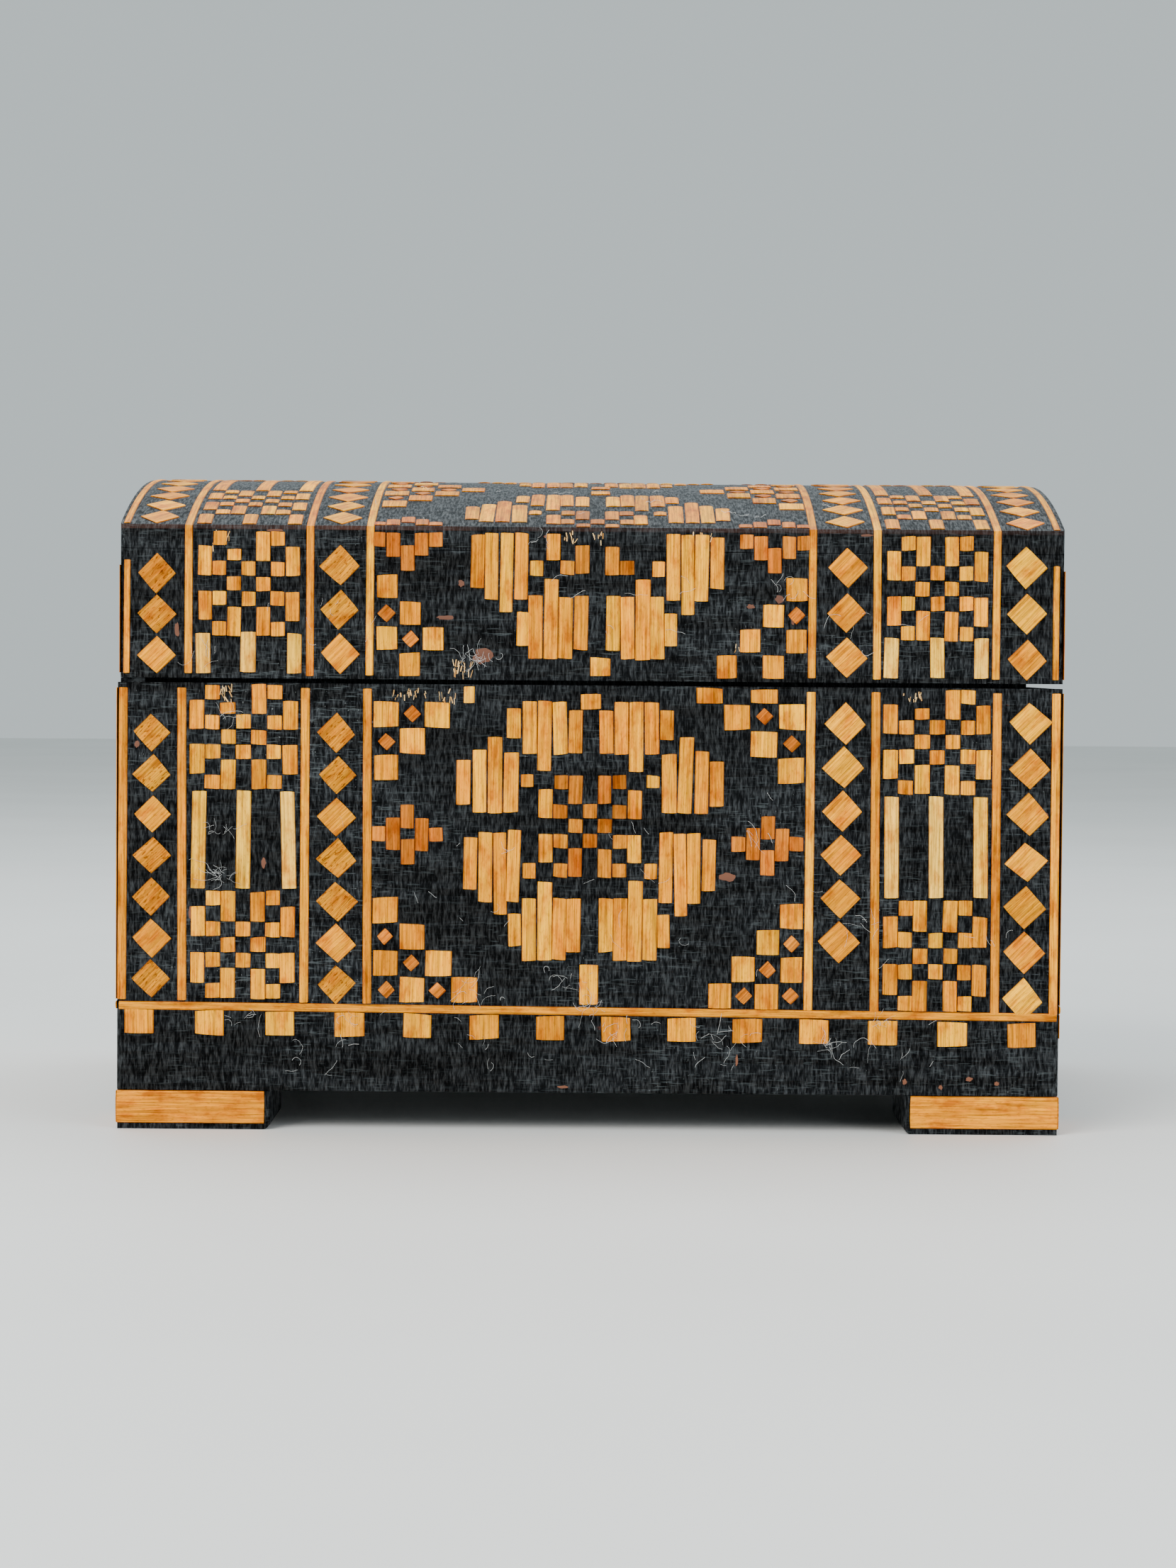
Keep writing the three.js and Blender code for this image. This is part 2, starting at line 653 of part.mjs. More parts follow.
function mainspring() {
  const inner = arborRadius + springInnerGap;
  const outer = barrelRadius - barrelWall - layerGap - springThickness;
  const stepsPerTurn = 14;
  const steps = springTurns * stepsPerTurn;
  const coil = (extra) => Array.from({ length: steps + 1 }, (_, index) => {
    const angle = 2 * Math.PI * index / stepsPerTurn;
    const radius = inner + (outer - inner) * index / steps + extra;
    return [radius * Math.cos(angle), radius * Math.sin(angle)];
  });
  const outline = polygon([...coil(springThickness), ...coil(0).reverse()]);
  return alongZ(outline, barrelBottom + barrelWall + layerGap, barrelBottom + barrelHeight - layerGap)
    .translate(barrelX, axisY, 0);
}

function crownWheel() {
  const rim = crownRadius + crownFace / 2;
  const bore = arborRadius + runningClearance;
  const disc = turned([
    [bore, discBottom], [rim, discBottom], [rim, discTop], [bore, discTop], [bore, discBottom],
  ], 36);
  const pitch = 2 * Math.PI * crownRadius / crownTeeth;
  const base = 0.25 * pitch;
  const tip = 0.13 * pitch;
  const sunk = crownDiscThickness / 4;
  const section = polygon([
    [-base, -sunk], [base, -sunk], [tip, crownToothHeight], [-tip, crownToothHeight],
  ]);
  const teeth = Array.from({ length: crownTeeth }, (_, index) => {
    const tooth = alongX(section, rim - crownFace, rim - glueGap / 2).translate(0, 0, discTop);
    return tooth.rotateZ(2 * Math.PI * index / crownTeeth);
  });
  return join([disc, ...teeth]).translate(barrelX, axisY, 0);
}

// The arbor carries its ratchet wheel and reaches through the back wall into the key.
function windingArbor() {
  const outerEnd = -(backThrough + keyHubLength - layerGap);
  return join([rodZ(arborRadius, barrelX, axisY, outerEnd, discTop + gearGap, 20), ratchet()]);
}

function windingKey() {
  const face = -backThrough;
  const hubNear = face - escutcheonThickness - layerGap;
  const hubFar = hubNear - keyHubLength;
  const wingFar = face - keyReach;
  const hub = rodZ(keyHubRadius, 0, 0, hubFar, hubNear, 24);
  const wingMiddle = wingFar + keyWingRadius;
  const half = keyThickness / 2;
  const lobe = (x) => rodY(keyWingRadius, x, -half, half, wingMiddle, 28);
  const webFar = wingMiddle - keyWebHalfHeight;
  const web = box(-keyWingSpread, keyWingSpread, -half, half, webFar, hubFar + overcut);
  const holes = [-keyWingSpread, keyWingSpread].map((x) =>
    rodY(keyWingRadius * keyEyeShare, x, -keyThickness, keyThickness, wingMiddle, 20));
  const bore = rodZ(arborRadius + glueGap, 0, 0, hubFar + layerGap, hubNear + overcut, 20);
  const whole = join([hub, web, lobe(-keyWingSpread), lobe(keyWingSpread)]);
  return cut(whole, [bore, ...holes]).translate(barrelX, axisY, 0);
}

function escutcheon() {
  const near = -backThrough - glueGap / 2;
  const far = near - escutcheonThickness;
  const bore = keyHoleRadius;
  const middle = (near + far) / 2;
  return turned([
    [bore, far], [escutcheonRadius - escutcheonBevel, far], [escutcheonRadius, middle],
    [escutcheonRadius, near], [bore, near], [bore, far],
  ], 28).translate(barrelX, axisY, 0);
}

function cylinder() {
  const bore = cylinderArborRadius + glueGap;
  const inner = cylinderRadius - cylinderWall;
  const length = cylinderLength;
  const farCap = length - cylinderWall;
  return turned([
    [bore, 0], [cylinderRadius, 0], [cylinderRadius, length], [bore, length], [bore, farCap],
    [inner, farCap], [inner, cylinderWall], [bore, cylinderWall], [bore, 0],
  ], 40).rotateY(Math.PI / 2).translate(cylinderLeft, axisY, axisZ);
}

function cylinderArbor() {
  const rod = rodX(cylinderArborRadius, pinionLeft - shaftEnd, gearRight + shaftEnd, axisY, axisZ);
  const phase = -Math.PI / 2 + Math.PI / pinionTeeth;
  const pinion = alongX(gearShape(pinionTeeth, pinionModule, phase), pinionLeft, pinionRight)
    .translate(0, axisY, axisZ);
  return join([rod, pinion]);
}

const combTip = axisY - cylinderRadius - combTipGap;
const combTail = combTip - combLength;
const combMiddle = (cylinderLeft + cylinderRight) / 2;
const combScrewOffset = cylinderLength * 0.3;
const combScrewY = combTail + combBaseWidth / 2;

function comb() {
  const pitch = cylinderLength / combTeeth;
  const points = [[cylinderRight - combSlot / 2, combTail], [cylinderRight - combSlot / 2, combTip]];
  for (let slot = combTeeth - 1; slot > 0; slot -= 1) {
    const middle = cylinderLeft + slot * pitch;
    const bottom = combTip - combToothLength * (0.75 + 0.25 * slot / combTeeth);
    points.push([middle + combSlot / 2, combTip], [middle + combSlot / 2, bottom]);
    points.push([middle - combSlot / 2, bottom], [middle - combSlot / 2, combTip]);
  }
  points.push([cylinderLeft + combSlot / 2, combTip], [cylinderLeft + combSlot / 2, combTail]);
  const blank = alongZ(polygon(points), axisZ - combThickness / 2, axisZ + combThickness / 2);
  const under = axisZ - combThickness;
  return cut(blank, [-combScrewOffset, combScrewOffset].map((offset) =>
    rodZ(screwHoleRadius, combMiddle + offset, combScrewY, under, axisZ + combThickness, 12)));
}

function combBase() {
  const top = axisZ - combThickness / 2 - glueGap;
  const bottom = plateThickness + glueGap;
  const block = box(cylinderLeft, cylinderRight, combTail, combTail + combBaseWidth, bottom, top);
  return cut(block, [-combScrewOffset, combScrewOffset].map((offset) =>
    rodZ(screwHoleRadius, combMiddle + offset, combScrewY, top - screwLength, top + overcut, 12)));
}

// One bent strip: an upright at each end of the cylinder, joined by a foot that passes under it.
function cylinderFrame() {
  const bottom = plateThickness + glueGap;
  const far = rightBracketX + bracketThickness;
  const top = axisZ + bracketHeadroom;
  const low = axisY - bracketHalfWidth;
  const high = axisY + bracketHalfWidth;
  const left = box(leftBracketX, leftBracketX + bracketThickness, low, high, bottom, top);
  const right = box(rightBracketX, far, low, governorY + bracketEar, bottom, top);
  const strip = box(leftBracketX, far, low, high, bottom, bottom + bracketThickness);
  const bores = [
    rodX(cylinderArborRadius + runningClearance, leftBracketX - overcut, far + overcut, axisY, axisZ),
    rodX(governorArborRadius + runningClearance, rightBracketX - overcut, far + overcut, governorY, axisZ),
  ];
  return cut(join([left, right, strip]), bores);
}

function governorBracket() {
  const bottom = plateThickness + glueGap;
  const footTop = bottom + bracketThickness;
  const right = outerBracketX + bracketThickness;
  const left = wormX - postHalfWidth;
  const postRight = wormX + postHalfWidth;
  const postNear = wormY + fanRadius + fanClearance;
  const postFar = postNear + postThickness;
  const armTop = armBottom + bracketThickness;
  const plateLow = governorY - bracketEar;
  const plateTop = axisZ + bracketHeadroom - bracketThickness;
  const footPlate = box(left, right, plateLow, postFar, bottom, footTop);
  const plate = box(outerBracketX, right, plateLow, wormY + postThickness, bottom, plateTop);
  const post = box(left, postRight, postNear, postFar, bottom, armTop);
  const arm = box(left, postRight, wormY - postHalfWidth, postFar, armBottom, armTop);
  const spindleBore = spindleRadius + runningClearance;
  const arborBore = governorArborRadius + runningClearance;
  const bores = [
    rodX(arborBore, outerBracketX - overcut, right + overcut, governorY, axisZ),
    rodZ(spindleBore, wormX, wormY, bottom - overcut, footTop + overcut, 12),
    rodZ(spindleBore, wormX, wormY, armBottom - overcut, armTop + overcut, 12),
  ];
  return cut(join([footPlate, plate, post, arm]), bores);
}

function governorArbor() {
  const far = outerBracketX + bracketThickness + shaftEnd;
  const rod = rodX(governorArborRadius, rightBracketX - shaftEnd, far, governorY, axisZ);
  const half = Math.PI / governorPinionTeeth;
  const pinion = alongX(gearShape(governorPinionTeeth, trainModule, Math.PI + half), gearLeft, gearRight)
    .translate(0, governorY, axisZ);
  return join([rod, pinion]);
}

// A twin-start thread: an oval section twisted along the spindle.
function wormSpindle() {
  const steps = 24;
  const sides = 12;
  const lead = wormStarts * Math.PI * trainModule;
  const middleRadius = wormPitchRadius - runningClearance;
  const section = polygon(Array.from({ length: sides }, (_, index) => {
    const angle = 2 * Math.PI * index / sides;
    const radius = middleRadius + wormThreadDepth / 2 * Math.cos(wormStarts * angle);
    return [radius * Math.cos(angle), radius * Math.sin(angle)];
  }));
  const thread = new THREE.ExtrudeGeometry(section, { depth: wormLength, steps, bevelEnabled: false });
  thread.translate(0, 0, -wormLength / 2);
  const place = thread.attributes.position;
  for (let index = 0; index < place.count; index += 1) {
    const point = new THREE.Vector3().fromBufferAttribute(place, index);
    point.applyAxisAngle(new THREE.Vector3(0, 0, 1), 2 * Math.PI * point.z / lead);
    place.setXYZ(index, point.x, point.y, point.z);
  }
  thread.translate(wormX, wormY, axisZ);
  const near = plateThickness + shaftEnd;
  const far = armBottom + bracketThickness - shaftEnd;
  return join([rodZ(spindleRadius, wormX, wormY, near, far, 12), thread]);
}

function fan() {
  const blades = box(-fanRadius, fanRadius, -fanThickness / 2, fanThickness / 2, fanBottom, fanTop);
  const hub = rodZ(fanHubRadius, 0, 0, fanBottom, fanTop);
  const bore = rodZ(spindleRadius + glueGap, 0, 0, fanBottom - overcut, fanTop + overcut, 12);
  return cut(join([blades, hub]), [bore]).translate(wormX, wormY, 0);
}

function buildMovement(group) {
  addMesh(group, 'bedplate', bedplate(), brass);
  plateScrews.forEach(([x, y], index) => {
    const length = plateScrewLength + plateThickness - screwClearance;
    const piece = screw(screwHeadRadius, screwHeadHeight, screwShankRadius, length);
    addMesh(group, `movement_screw_${index + 1}`, piece.translate(x, y, plateThickness + glueGap), steel);
  });
  addMesh(group, 'click', click(), steel);
  addMesh(group, 'spring_barrel', springBarrel(), brass);
  addMesh(group, 'mainspring', mainspring(), darkSteel);
  addMesh(group, 'crown_wheel', crownWheel(), brass);
  addMesh(group, 'winding_arbor', windingArbor(), steel);
  addMesh(group, 'winding_key', windingKey(), brass);
  addMesh(group, 'key_escutcheon', escutcheon(), brass);
  addMesh(group, 'cylinder', cylinder(), brass);
  addMesh(group, 'cylinder_arbor', cylinderArbor(), steel);
  addMesh(group, 'cylinder_gear',
    gearOnX(cylinderGearTeeth, trainModule, 0, gearLeft, gearRight,
      axisY, axisZ, cylinderArborRadius + glueGap), brass);
  addMesh(group, 'comb', comb(), steel);
  addMesh(group, 'comb_base', combBase(), brass);
  [-combScrewOffset, combScrewOffset].forEach((offset, index) => {
    const length = screwLength + combThickness / 2;
    const piece = screw(screwHeadRadius, combScrewHeadHeight, screwShankRadius, length);
    piece.translate(combMiddle + offset, combScrewY, axisZ + combThickness / 2 + glueGap);
    addMesh(group, `comb_screw_${index + 1}`, piece, steel);
  });
  addMesh(group, 'cylinder_frame', cylinderFrame(), brass);
  addMesh(group, 'governor_bracket', governorBracket(), brass);
  addMesh(group, 'governor_arbor', governorArbor(), steel);
  addMesh(group, 'worm_wheel',
    gearOnX(wormWheelTeeth, trainModule, 0, wormWheelLeft, wormWheelLeft + trainFace,
      governorY, axisZ, governorArborRadius + glueGap), brass);
  addMesh(group, 'worm_spindle', wormSpindle(), steel);
  addMesh(group, 'fan', fan(), darkSteel);
}

// ---- Assembly ----
const movement = new THREE.Group();
movement.rotation.x = Math.PI / 2;
movement.position.set(movementX, innerY - seatGap, movementZ);
buildMovement(movement);

buildCase(model);
buildCover(model);
buildLid(model);
buildHinges(model);
model.add(movement);
addMesh(model, 'stop_rod', rodZ(stopRodRadius, stopRodX, stopRodY, stopRodBottom, lidBottom), steel);

export default model;
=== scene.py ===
# Wind-up music box: the looks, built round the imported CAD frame. Metres, +Z up, the front faces -Y.
import bpy
import json
import math
import random
from mathutils import Matrix, Vector


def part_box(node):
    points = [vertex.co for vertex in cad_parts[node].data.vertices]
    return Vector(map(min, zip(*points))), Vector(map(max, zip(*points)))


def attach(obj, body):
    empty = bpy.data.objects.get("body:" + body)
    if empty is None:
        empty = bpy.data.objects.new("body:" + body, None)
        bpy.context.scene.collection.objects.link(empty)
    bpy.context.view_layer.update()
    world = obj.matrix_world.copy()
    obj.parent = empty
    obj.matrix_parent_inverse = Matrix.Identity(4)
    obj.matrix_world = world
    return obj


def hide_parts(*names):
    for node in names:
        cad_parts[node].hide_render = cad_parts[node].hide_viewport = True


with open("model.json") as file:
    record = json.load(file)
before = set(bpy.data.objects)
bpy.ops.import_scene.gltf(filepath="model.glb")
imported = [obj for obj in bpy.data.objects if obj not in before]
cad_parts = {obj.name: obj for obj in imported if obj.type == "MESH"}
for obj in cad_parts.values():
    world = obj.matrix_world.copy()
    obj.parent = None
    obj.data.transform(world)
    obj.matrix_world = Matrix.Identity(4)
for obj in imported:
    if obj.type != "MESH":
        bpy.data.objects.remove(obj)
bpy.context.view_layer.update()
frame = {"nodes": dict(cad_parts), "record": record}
NODES = frame["nodes"]
MM = 0.001

# ---- The frame's own sizes, in millimetres ----


def corners(node):
    """The lowest and highest corner of a CAD node, in millimetres."""
    low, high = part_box(node)
    return low / MM, high / MM


FRONT_LOW, FRONT_HIGH = corners("front_wall")
BACK_LOW, BACK_HIGH = corners("back_wall")
LID_LOW, LID_HIGH = corners("lid_top")
RAIL_LOW, RAIL_HIGH = corners("lid_front_rail")
FRONT_Y = FRONT_LOW.y
BACK_Y = BACK_HIGH.y
MIDDLE_Y = (FRONT_Y + BACK_Y) / 2
BASE_Z = FRONT_LOW.z
BASE_HEIGHT = corners("left_wall")[1].z - BASE_Z
HALF_WIDTH = FRONT_HIGH.x
HALF_DEPTH = (BACK_Y - FRONT_Y) / 2
LID_Z = RAIL_LOW.z
# The lid's front and back are upright up to a crease, where its arched top begins.
ARCH_RISE = 11.4
CREASE_SOFT = 0.6
CREASE_Z = LID_HIGH.z - ARCH_RISE
CREASE_HEIGHT = CREASE_Z - LID_Z
ARCH_RADIUS = (HALF_DEPTH ** 2 + ARCH_RISE ** 2) / (2 * ARCH_RISE)
ARCH_CENTRE = LID_HIGH.z - ARCH_RADIUS
ARCH_HALF_ANGLE = math.asin(HALF_DEPTH / ARCH_RADIUS)
ARCH_LENGTH = 2 * ARCH_RADIUS * ARCH_HALF_ANGLE
LID_MIDDLE_X = (LID_LOW.x + LID_HIGH.x) / 2

# ---- Materials ----
# Sockets of a colour Mix node.
FACTOR, COLOUR_A, COLOUR_B, COLOUR_RESULT = 0, 6, 7, 2
X_AXIS, Y_AXIS, Z_AXIS = 0, 1, 2


def stretched(usual, axis, along):
    """Noise scales that are the same on two axes and another on the third."""
    scale = [usual, usual, usual]
    scale[axis] = along
    return scale


class Look:
    """A node material and short methods for its nodes."""

    def __init__(self, name):
        self.material = bpy.data.materials.new(name)
        self.material.use_nodes = True
        self.nodes = self.material.node_tree.nodes
        self.links = self.material.node_tree.links
        self.shader = self.nodes["Principled BSDF"]

    def feed(self, node, socket, value):
        """Links a socket to an output, or sets it to a number or a colour."""
        if isinstance(value, (int, float)):
            node.inputs[socket].default_value = value
        elif isinstance(value, tuple):
            node.inputs[socket].default_value = (*value, 1)
        else:
            self.links.new(value, node.inputs[socket])

    def surface(self, **values):
        """Feeds the shader's sockets; an underscore stands for a space."""
        for socket, value in values.items():
            self.feed(self.shader, socket.replace("_", " "), value)

    def place(self):
        return self.nodes.new("ShaderNodeTexCoord").outputs["Object"]

    def attribute(self, name):
        node = self.nodes.new("ShaderNodeAttribute")
        node.attribute_name = name
        return node.outputs

    def noise(self, place, scale, detail=3.0, roughness=0.55):
        """Noise with one scale, or its own scale along each axis."""
        mapping = self.nodes.new("ShaderNodeMapping")
        mapping.inputs["Scale"].default_value = (scale,) * 3 if isinstance(scale, float) else scale
        self.links.new(place, mapping.inputs["Vector"])
        node = self.nodes.new("ShaderNodeTexNoise")
        self.feed(node, "Scale", 1.0)
        self.feed(node, "Detail", detail)
        self.feed(node, "Roughness", roughness)
        self.feed(node, "Vector", mapping.outputs["Vector"])
        return node.outputs["Fac"]

    def ramp(self, value, *stops):
        """A colour ramp over (position, colour) stops; a number stands for a grey."""
        node = self.nodes.new("ShaderNodeValToRGB")
        elements = node.color_ramp.elements
        while len(elements) < len(stops):
            elements.new(0.5)
        for element, (position, colour) in zip(elements, stops):
            element.position = position
            grey = isinstance(colour, (int, float))
            element.color = (colour, colour, colour, 1) if grey else (*colour, 1)
        self.links.new(value, node.inputs["Fac"])
        return node.outputs["Color"]

    def mix(self, a, b, factor, blend="MIX"):
        node = self.nodes.new("ShaderNodeMix")
        node.data_type = "RGBA"
        node.blend_type = blend
        self.feed(node, COLOUR_A, a)
        self.feed(node, COLOUR_B, b)
        self.feed(node, FACTOR, factor)
        return node.outputs[COLOUR_RESULT]

    def times(self, a, b, factor):
        return self.mix(a, b, factor, "MULTIPLY")

    def calculate(self, operation, a, b=0.0):
        node = self.nodes.new("ShaderNodeMath")
        node.operation = operation
        self.feed(node, 0, a)
        self.feed(node, 1, b)
        return node.outputs[0]

    def bump(self, height, strength, distance):
        node = self.nodes.new("ShaderNodeBump")
        self.feed(node, "Strength", strength)
        self.feed(node, "Distance", distance)
        self.feed(node, "Height", height)
        self.feed(self.shader, "Normal", node.outputs["Normal"])


def black_wood(name, grain, sheen=0.0):
    """Black-stained board: fine ribbing across the grain with its crests painted lighter as painted sheen,
    grooves and pale dashes along it, wear and dust.
    """
    look = Look(name)
    place = look.place()
    rib = look.noise(place, stretched(520.0, grain, 2600.0), 2.0, 0.6)
    line = look.noise(place, stretched(640.0, grain, 48.0), 3.0, 0.6)
    dash = look.noise(place, stretched(3300.0, grain, 330.0), 2.0, 0.5)
    cloud = look.noise(place, (30.0, 30.0, 45.0), 4.0)
    worn = look.noise(place, (170.0, 170.0, 240.0), 4.0, 0.6)
    dust = look.noise(place, (2900.0, 2900.0, 1500.0), 1.0, 0.4)
    # Rib colour: the ribbing's own dark texture, with its crests painted lighter and bluer as painted
    # sheen.
    ribbing_and_sheen = look.ramp(
        rib,
        (0.34, (0.0024, 0.0029, 0.0034)),
        (0.54, (0.0078, 0.0094, 0.0112)),
        (0.72, (0.027, 0.032, 0.036)),
    )
    grooves = look.ramp(line, (0.43, 0.22), (0.53, 1.0))
    dashes = look.ramp(dash, (0.585, 0.0), (0.68, 0.7))
    dashed = look.calculate("MULTIPLY", dashes, look.ramp(cloud, (0.4, 0.3), (0.62, 1.0)))
    dust = look.ramp(dust, (0.73, 0.0), (0.78, 1.0))
    dusty = look.calculate("MULTIPLY", dust, look.ramp(cloud, (0.5, 0.0), (0.72, 0.6)))
    colour = look.times(ribbing_and_sheen, grooves, 0.95)
    colour = look.mix(colour, (0.05, 0.06, 0.064), dashed)
    colour = look.times(colour, look.ramp(cloud, (0.34, 0.45), (0.68, 1.3)), 0.85)
    colour = look.mix(colour, (0.06, 0.016, 0.008), look.ramp(worn, (0.735, 0.0), (0.77, 0.75)))
    colour = look.mix(colour, (0.05, 0.02, 0.013), crease_wear(look, place, cloud))
    colour = look.mix(colour, (0.25, 0.28, 0.28), dusty)
    look.surface(
        Base_Color=colour,
        Roughness=look.ramp(rib, (0.3, 0.62), (0.75, 0.4)),
        Specular_IOR_Level=look.ramp(rib, (0.42, 0.03), (0.68, 0.3)),
    )
    # Only the lid top's copy gets this bluish sheen: a painted reflection of the pale light above the box.
    if sheen:
        look.surface(Sheen_Weight=sheen, Sheen_Roughness=0.4, Sheen_Tint=(0.75, 0.85, 0.92))
    look.bump(look.mix(rib, line, 0.45), 0.7, 0.00025)
    return look.material


CREASE_WEAR_DROP = 0.2
CREASE_WEAR_REACH = 0.42


def crease_wear(look, place, cloud):
    """A patchy mask along the lid's creases, where the stain has rubbed brown."""
    height = look.nodes.new("ShaderNodeSeparateXYZ")
    look.feed(height, "Vector", place)
    offset = look.calculate("SUBTRACT", height.outputs["Z"], (CREASE_Z - CREASE_WEAR_DROP) * MM)
    near = look.calculate("LESS_THAN", look.calculate("ABSOLUTE", offset), CREASE_WEAR_REACH * MM)
    return look.calculate("MULTIPLY", near, look.ramp(cloud, (0.42, 0.0), (0.62, 0.8)))


WHITE = (1.0, 1.0, 1.0)


def straw():
    """Split, flattened straw: a tone for each piece, fibres along it, stains, a satin gloss, and edges
    darkened brown, partly glue and partly painted shade.
    """
    look = Look("straw")
    tone = look.attribute("tone")
    grain = look.attribute("grain")["Vector"]
    rim = look.attribute("rim")["Fac"]
    fibre = look.noise(grain, (2.7, 0.09, 1.0), 2.0, 0.6)
    thread = look.noise(grain, (7.0, 0.16, 1.0), 2.0, 0.5)
    stain = look.noise(grain, (0.42, 0.2, 1.0), 3.0, 0.6)
    specks = look.noise(grain, (3.0, 0.9, 1.0), 2.0, 0.55)
    stains = look.ramp(stain, (0.35, (0.66, 0.46, 0.26)), (0.49, WHITE), (0.63, (1.1, 1.22, 1.45)))
    colour = look.times(tone["Color"], look.ramp(fibre, (0.32, 0.52), (0.64, 1.26)), 0.9)
    colour = look.times(colour, look.ramp(thread, (0.36, 0.6), (0.55, 1.1)), 0.6)
    colour = look.times(colour, stains, 0.85)
    colour = look.times(colour, look.ramp(specks, (0.57, WHITE), (0.65, (0.3, 0.17, 0.1))), tone["Alpha"])
    # Edges darkened brown: partly the glue line and partly painted shade in the gap where the straw meets
    # the wood.
    colour = look.times(colour, look.ramp(rim, (0.1, WHITE), (0.75, (0.3, 0.17, 0.09))), 0.9)
    look.surface(
        Base_Color=colour,
        Roughness=look.ramp(fibre, (0.2, 0.3), (0.8, 0.46)),
        Specular_IOR_Level=0.36,
        Specular_Tint=(1.0, 0.58, 0.1),
    )
    look.bump(look.mix(fibre, thread, 0.5), 0.55, 0.00012)
    return look.material


def velvet(tint):
    look = Look("velvet")
    place = look.place()
    nap = look.noise(place, 2600.0, 2.0)
    brushed = look.noise(place, (60.0, 90.0, 60.0), 4.0)
    colour = look.ramp(brushed, (0.3, tuple(c * 0.75 for c in tint)), (0.7, tint))
    look.surface(
        Base_Color=look.times(colour, look.ramp(nap, (0.3, 0.6), (0.7, 1.15)), 0.7),
        Roughness=0.92,
        Sheen_Weight=0.3,
        Sheen_Roughness=0.35,
        Sheen_Tint=(0.9, 0.5, 0.5),
    )
    look.bump(look.mix(nap, brushed, 0.4), 0.5, 0.0003)
    return look.material


def plain_wood(name, light, dark, grain):
    """Bare wood with its fibres and rings along the grain axis."""
    look = Look(name)
    place = look.place()
    scale = stretched(420.0, grain, 26.0)
    fibre = look.noise(place, scale, 4.0, 0.6)
    rings = look.noise(place, [s * 0.12 for s in scale], 2.0)
    colour = look.ramp(rings, (0.35, dark), (0.65, light))
    look.surface(
        Base_Color=look.times(colour, look.ramp(fibre, (0.3, 0.6), (0.7, 1.1)), 0.7),
        Roughness=look.ramp(fibre, (0.2, 0.55), (0.8, 0.75)),
    )
    look.bump(fibre, 0.4, 0.0002)
    return look.material


def metal(name, light, dark, roughness, brush_axis, tarnish=0.35):
    """Turned or rolled metal: fine brush lines across `brush_axis`, clouds of tarnish and small pits."""
    look = Look(name)
    place = look.place()
    lines = look.noise(place, stretched(150.0, brush_axis, 5200.0), 2.0)
    clouds = look.noise(place, 190.0, 4.0, 0.6)
    pits = look.noise(place, 1900.0, 2.0)
    colour = look.ramp(clouds, (0.35, dark), (0.62, light))
    colour = look.times(colour, look.ramp(lines, (0.3, 0.8), (0.7, 1.05)), 0.6)
    look.surface(
        Base_Color=look.times(colour, look.ramp(pits, (0.66, 1.0), (0.74, 0.45)), tarnish),
        Metallic=1.0,
        Roughness=look.ramp(clouds, (0.3, roughness + 0.16), (0.7, roughness)),
    )
    look.bump(look.mix(lines, pits, 0.35), 0.25, 0.00005)
    return look.material


def clear_plate():
    look = Look("clear_plate")
    place = look.place()
    scratches = look.noise(place, (90.0, 2600.0, 90.0), 2.0)
    haze = look.noise(place, 70.0, 3.0)
    look.surface(
        Base_Color=look.ramp(haze, (0.3, (0.86, 0.92, 0.93)), (0.7, (0.95, 0.97, 0.97))),
        Roughness=look.ramp(scratches, (0.55, 0.04), (0.75, 0.2)),
        Transmission_Weight=0.95,
        IOR=1.2,
        Alpha=0.35,
    )
    look.bump(scratches, 0.05, 0.00003)
    return look.material


def lint_fibre():
    look = Look("lint")
    cloud = look.noise(look.place(), 400.0)
    colour = look.ramp(cloud, (0.3, (0.45, 0.47, 0.47)), (0.7, (0.75, 0.77, 0.76)))
    look.surface(Base_Color=colour, Roughness=0.9)
    return look.material


LOOKS = {
    "front_wood": black_wood("front_wood", X_AXIS),
    "side_wood": black_wood("side_wood", Y_AXIS),
    # The lid top is the same black wood with a bluish sheen added: a painted reflection of the pale light
    # above.
    "top_wood_painted_sheen": black_wood("top_wood_painted_sheen", X_AXIS, sheen=0.14),
    "worn_wood": plain_wood("worn_wood", (0.17, 0.055, 0.022), (0.08, 0.024, 0.011), X_AXIS),
    "raw_wood": plain_wood("raw_wood", (0.42, 0.26, 0.12), (0.24, 0.13, 0.055), Y_AXIS),
    "velvet": velvet((0.26, 0.012, 0.03)),
    "brass": metal("brass", (0.78, 0.55, 0.24), (0.5, 0.31, 0.12), 0.26, X_AXIS),
    "steel": metal("steel", (0.62, 0.63, 0.65), (0.42, 0.43, 0.45), 0.24, Z_AXIS),
    "dark_steel": metal("dark_steel", (0.25, 0.27, 0.31), (0.12, 0.13, 0.16), 0.32, Z_AXIS),
    "clear_plate": clear_plate(),
    "straw": straw(),
    "lint": lint_fibre(),
}


# ---- CAD nodes: welded, bevelled and painted ----
SIDE_BOARDS = ("left_wall", "right_wall", "lid_left_end", "lid_right_end")
BEVEL_SEGMENTS = 2
BEVEL_ANGLE = math.radians(38)
WELD_REACH = 0.004 * MM
BEVELS = {"black_wood": 0.6 * MM, "raw_wood": 0.35 * MM, "brass": 0.1 * MM, "steel": 0.08 * MM,
          "dark_steel": 0.05 * MM, "velvet": 0.8 * MM, "clear_plate": 0.25 * MM}
# Nodes too fine for their material's usual bevel.
THIN = {"front_wall": 0.45 * MM, "comb": 0.03 * MM, "worm_spindle": 0.01 * MM, "worm_wheel": 0.01 * MM}


def add_piece(name, mesh, look, body):
    obj = bpy.data.objects.new(name, mesh)
    bpy.context.scene.collection.objects.link(obj)
    obj.data.materials.append(LOOKS[look])
    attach(obj, body)
    return obj


def in_metres(points):
    return [tuple(c * MM for c in point) for point in points]


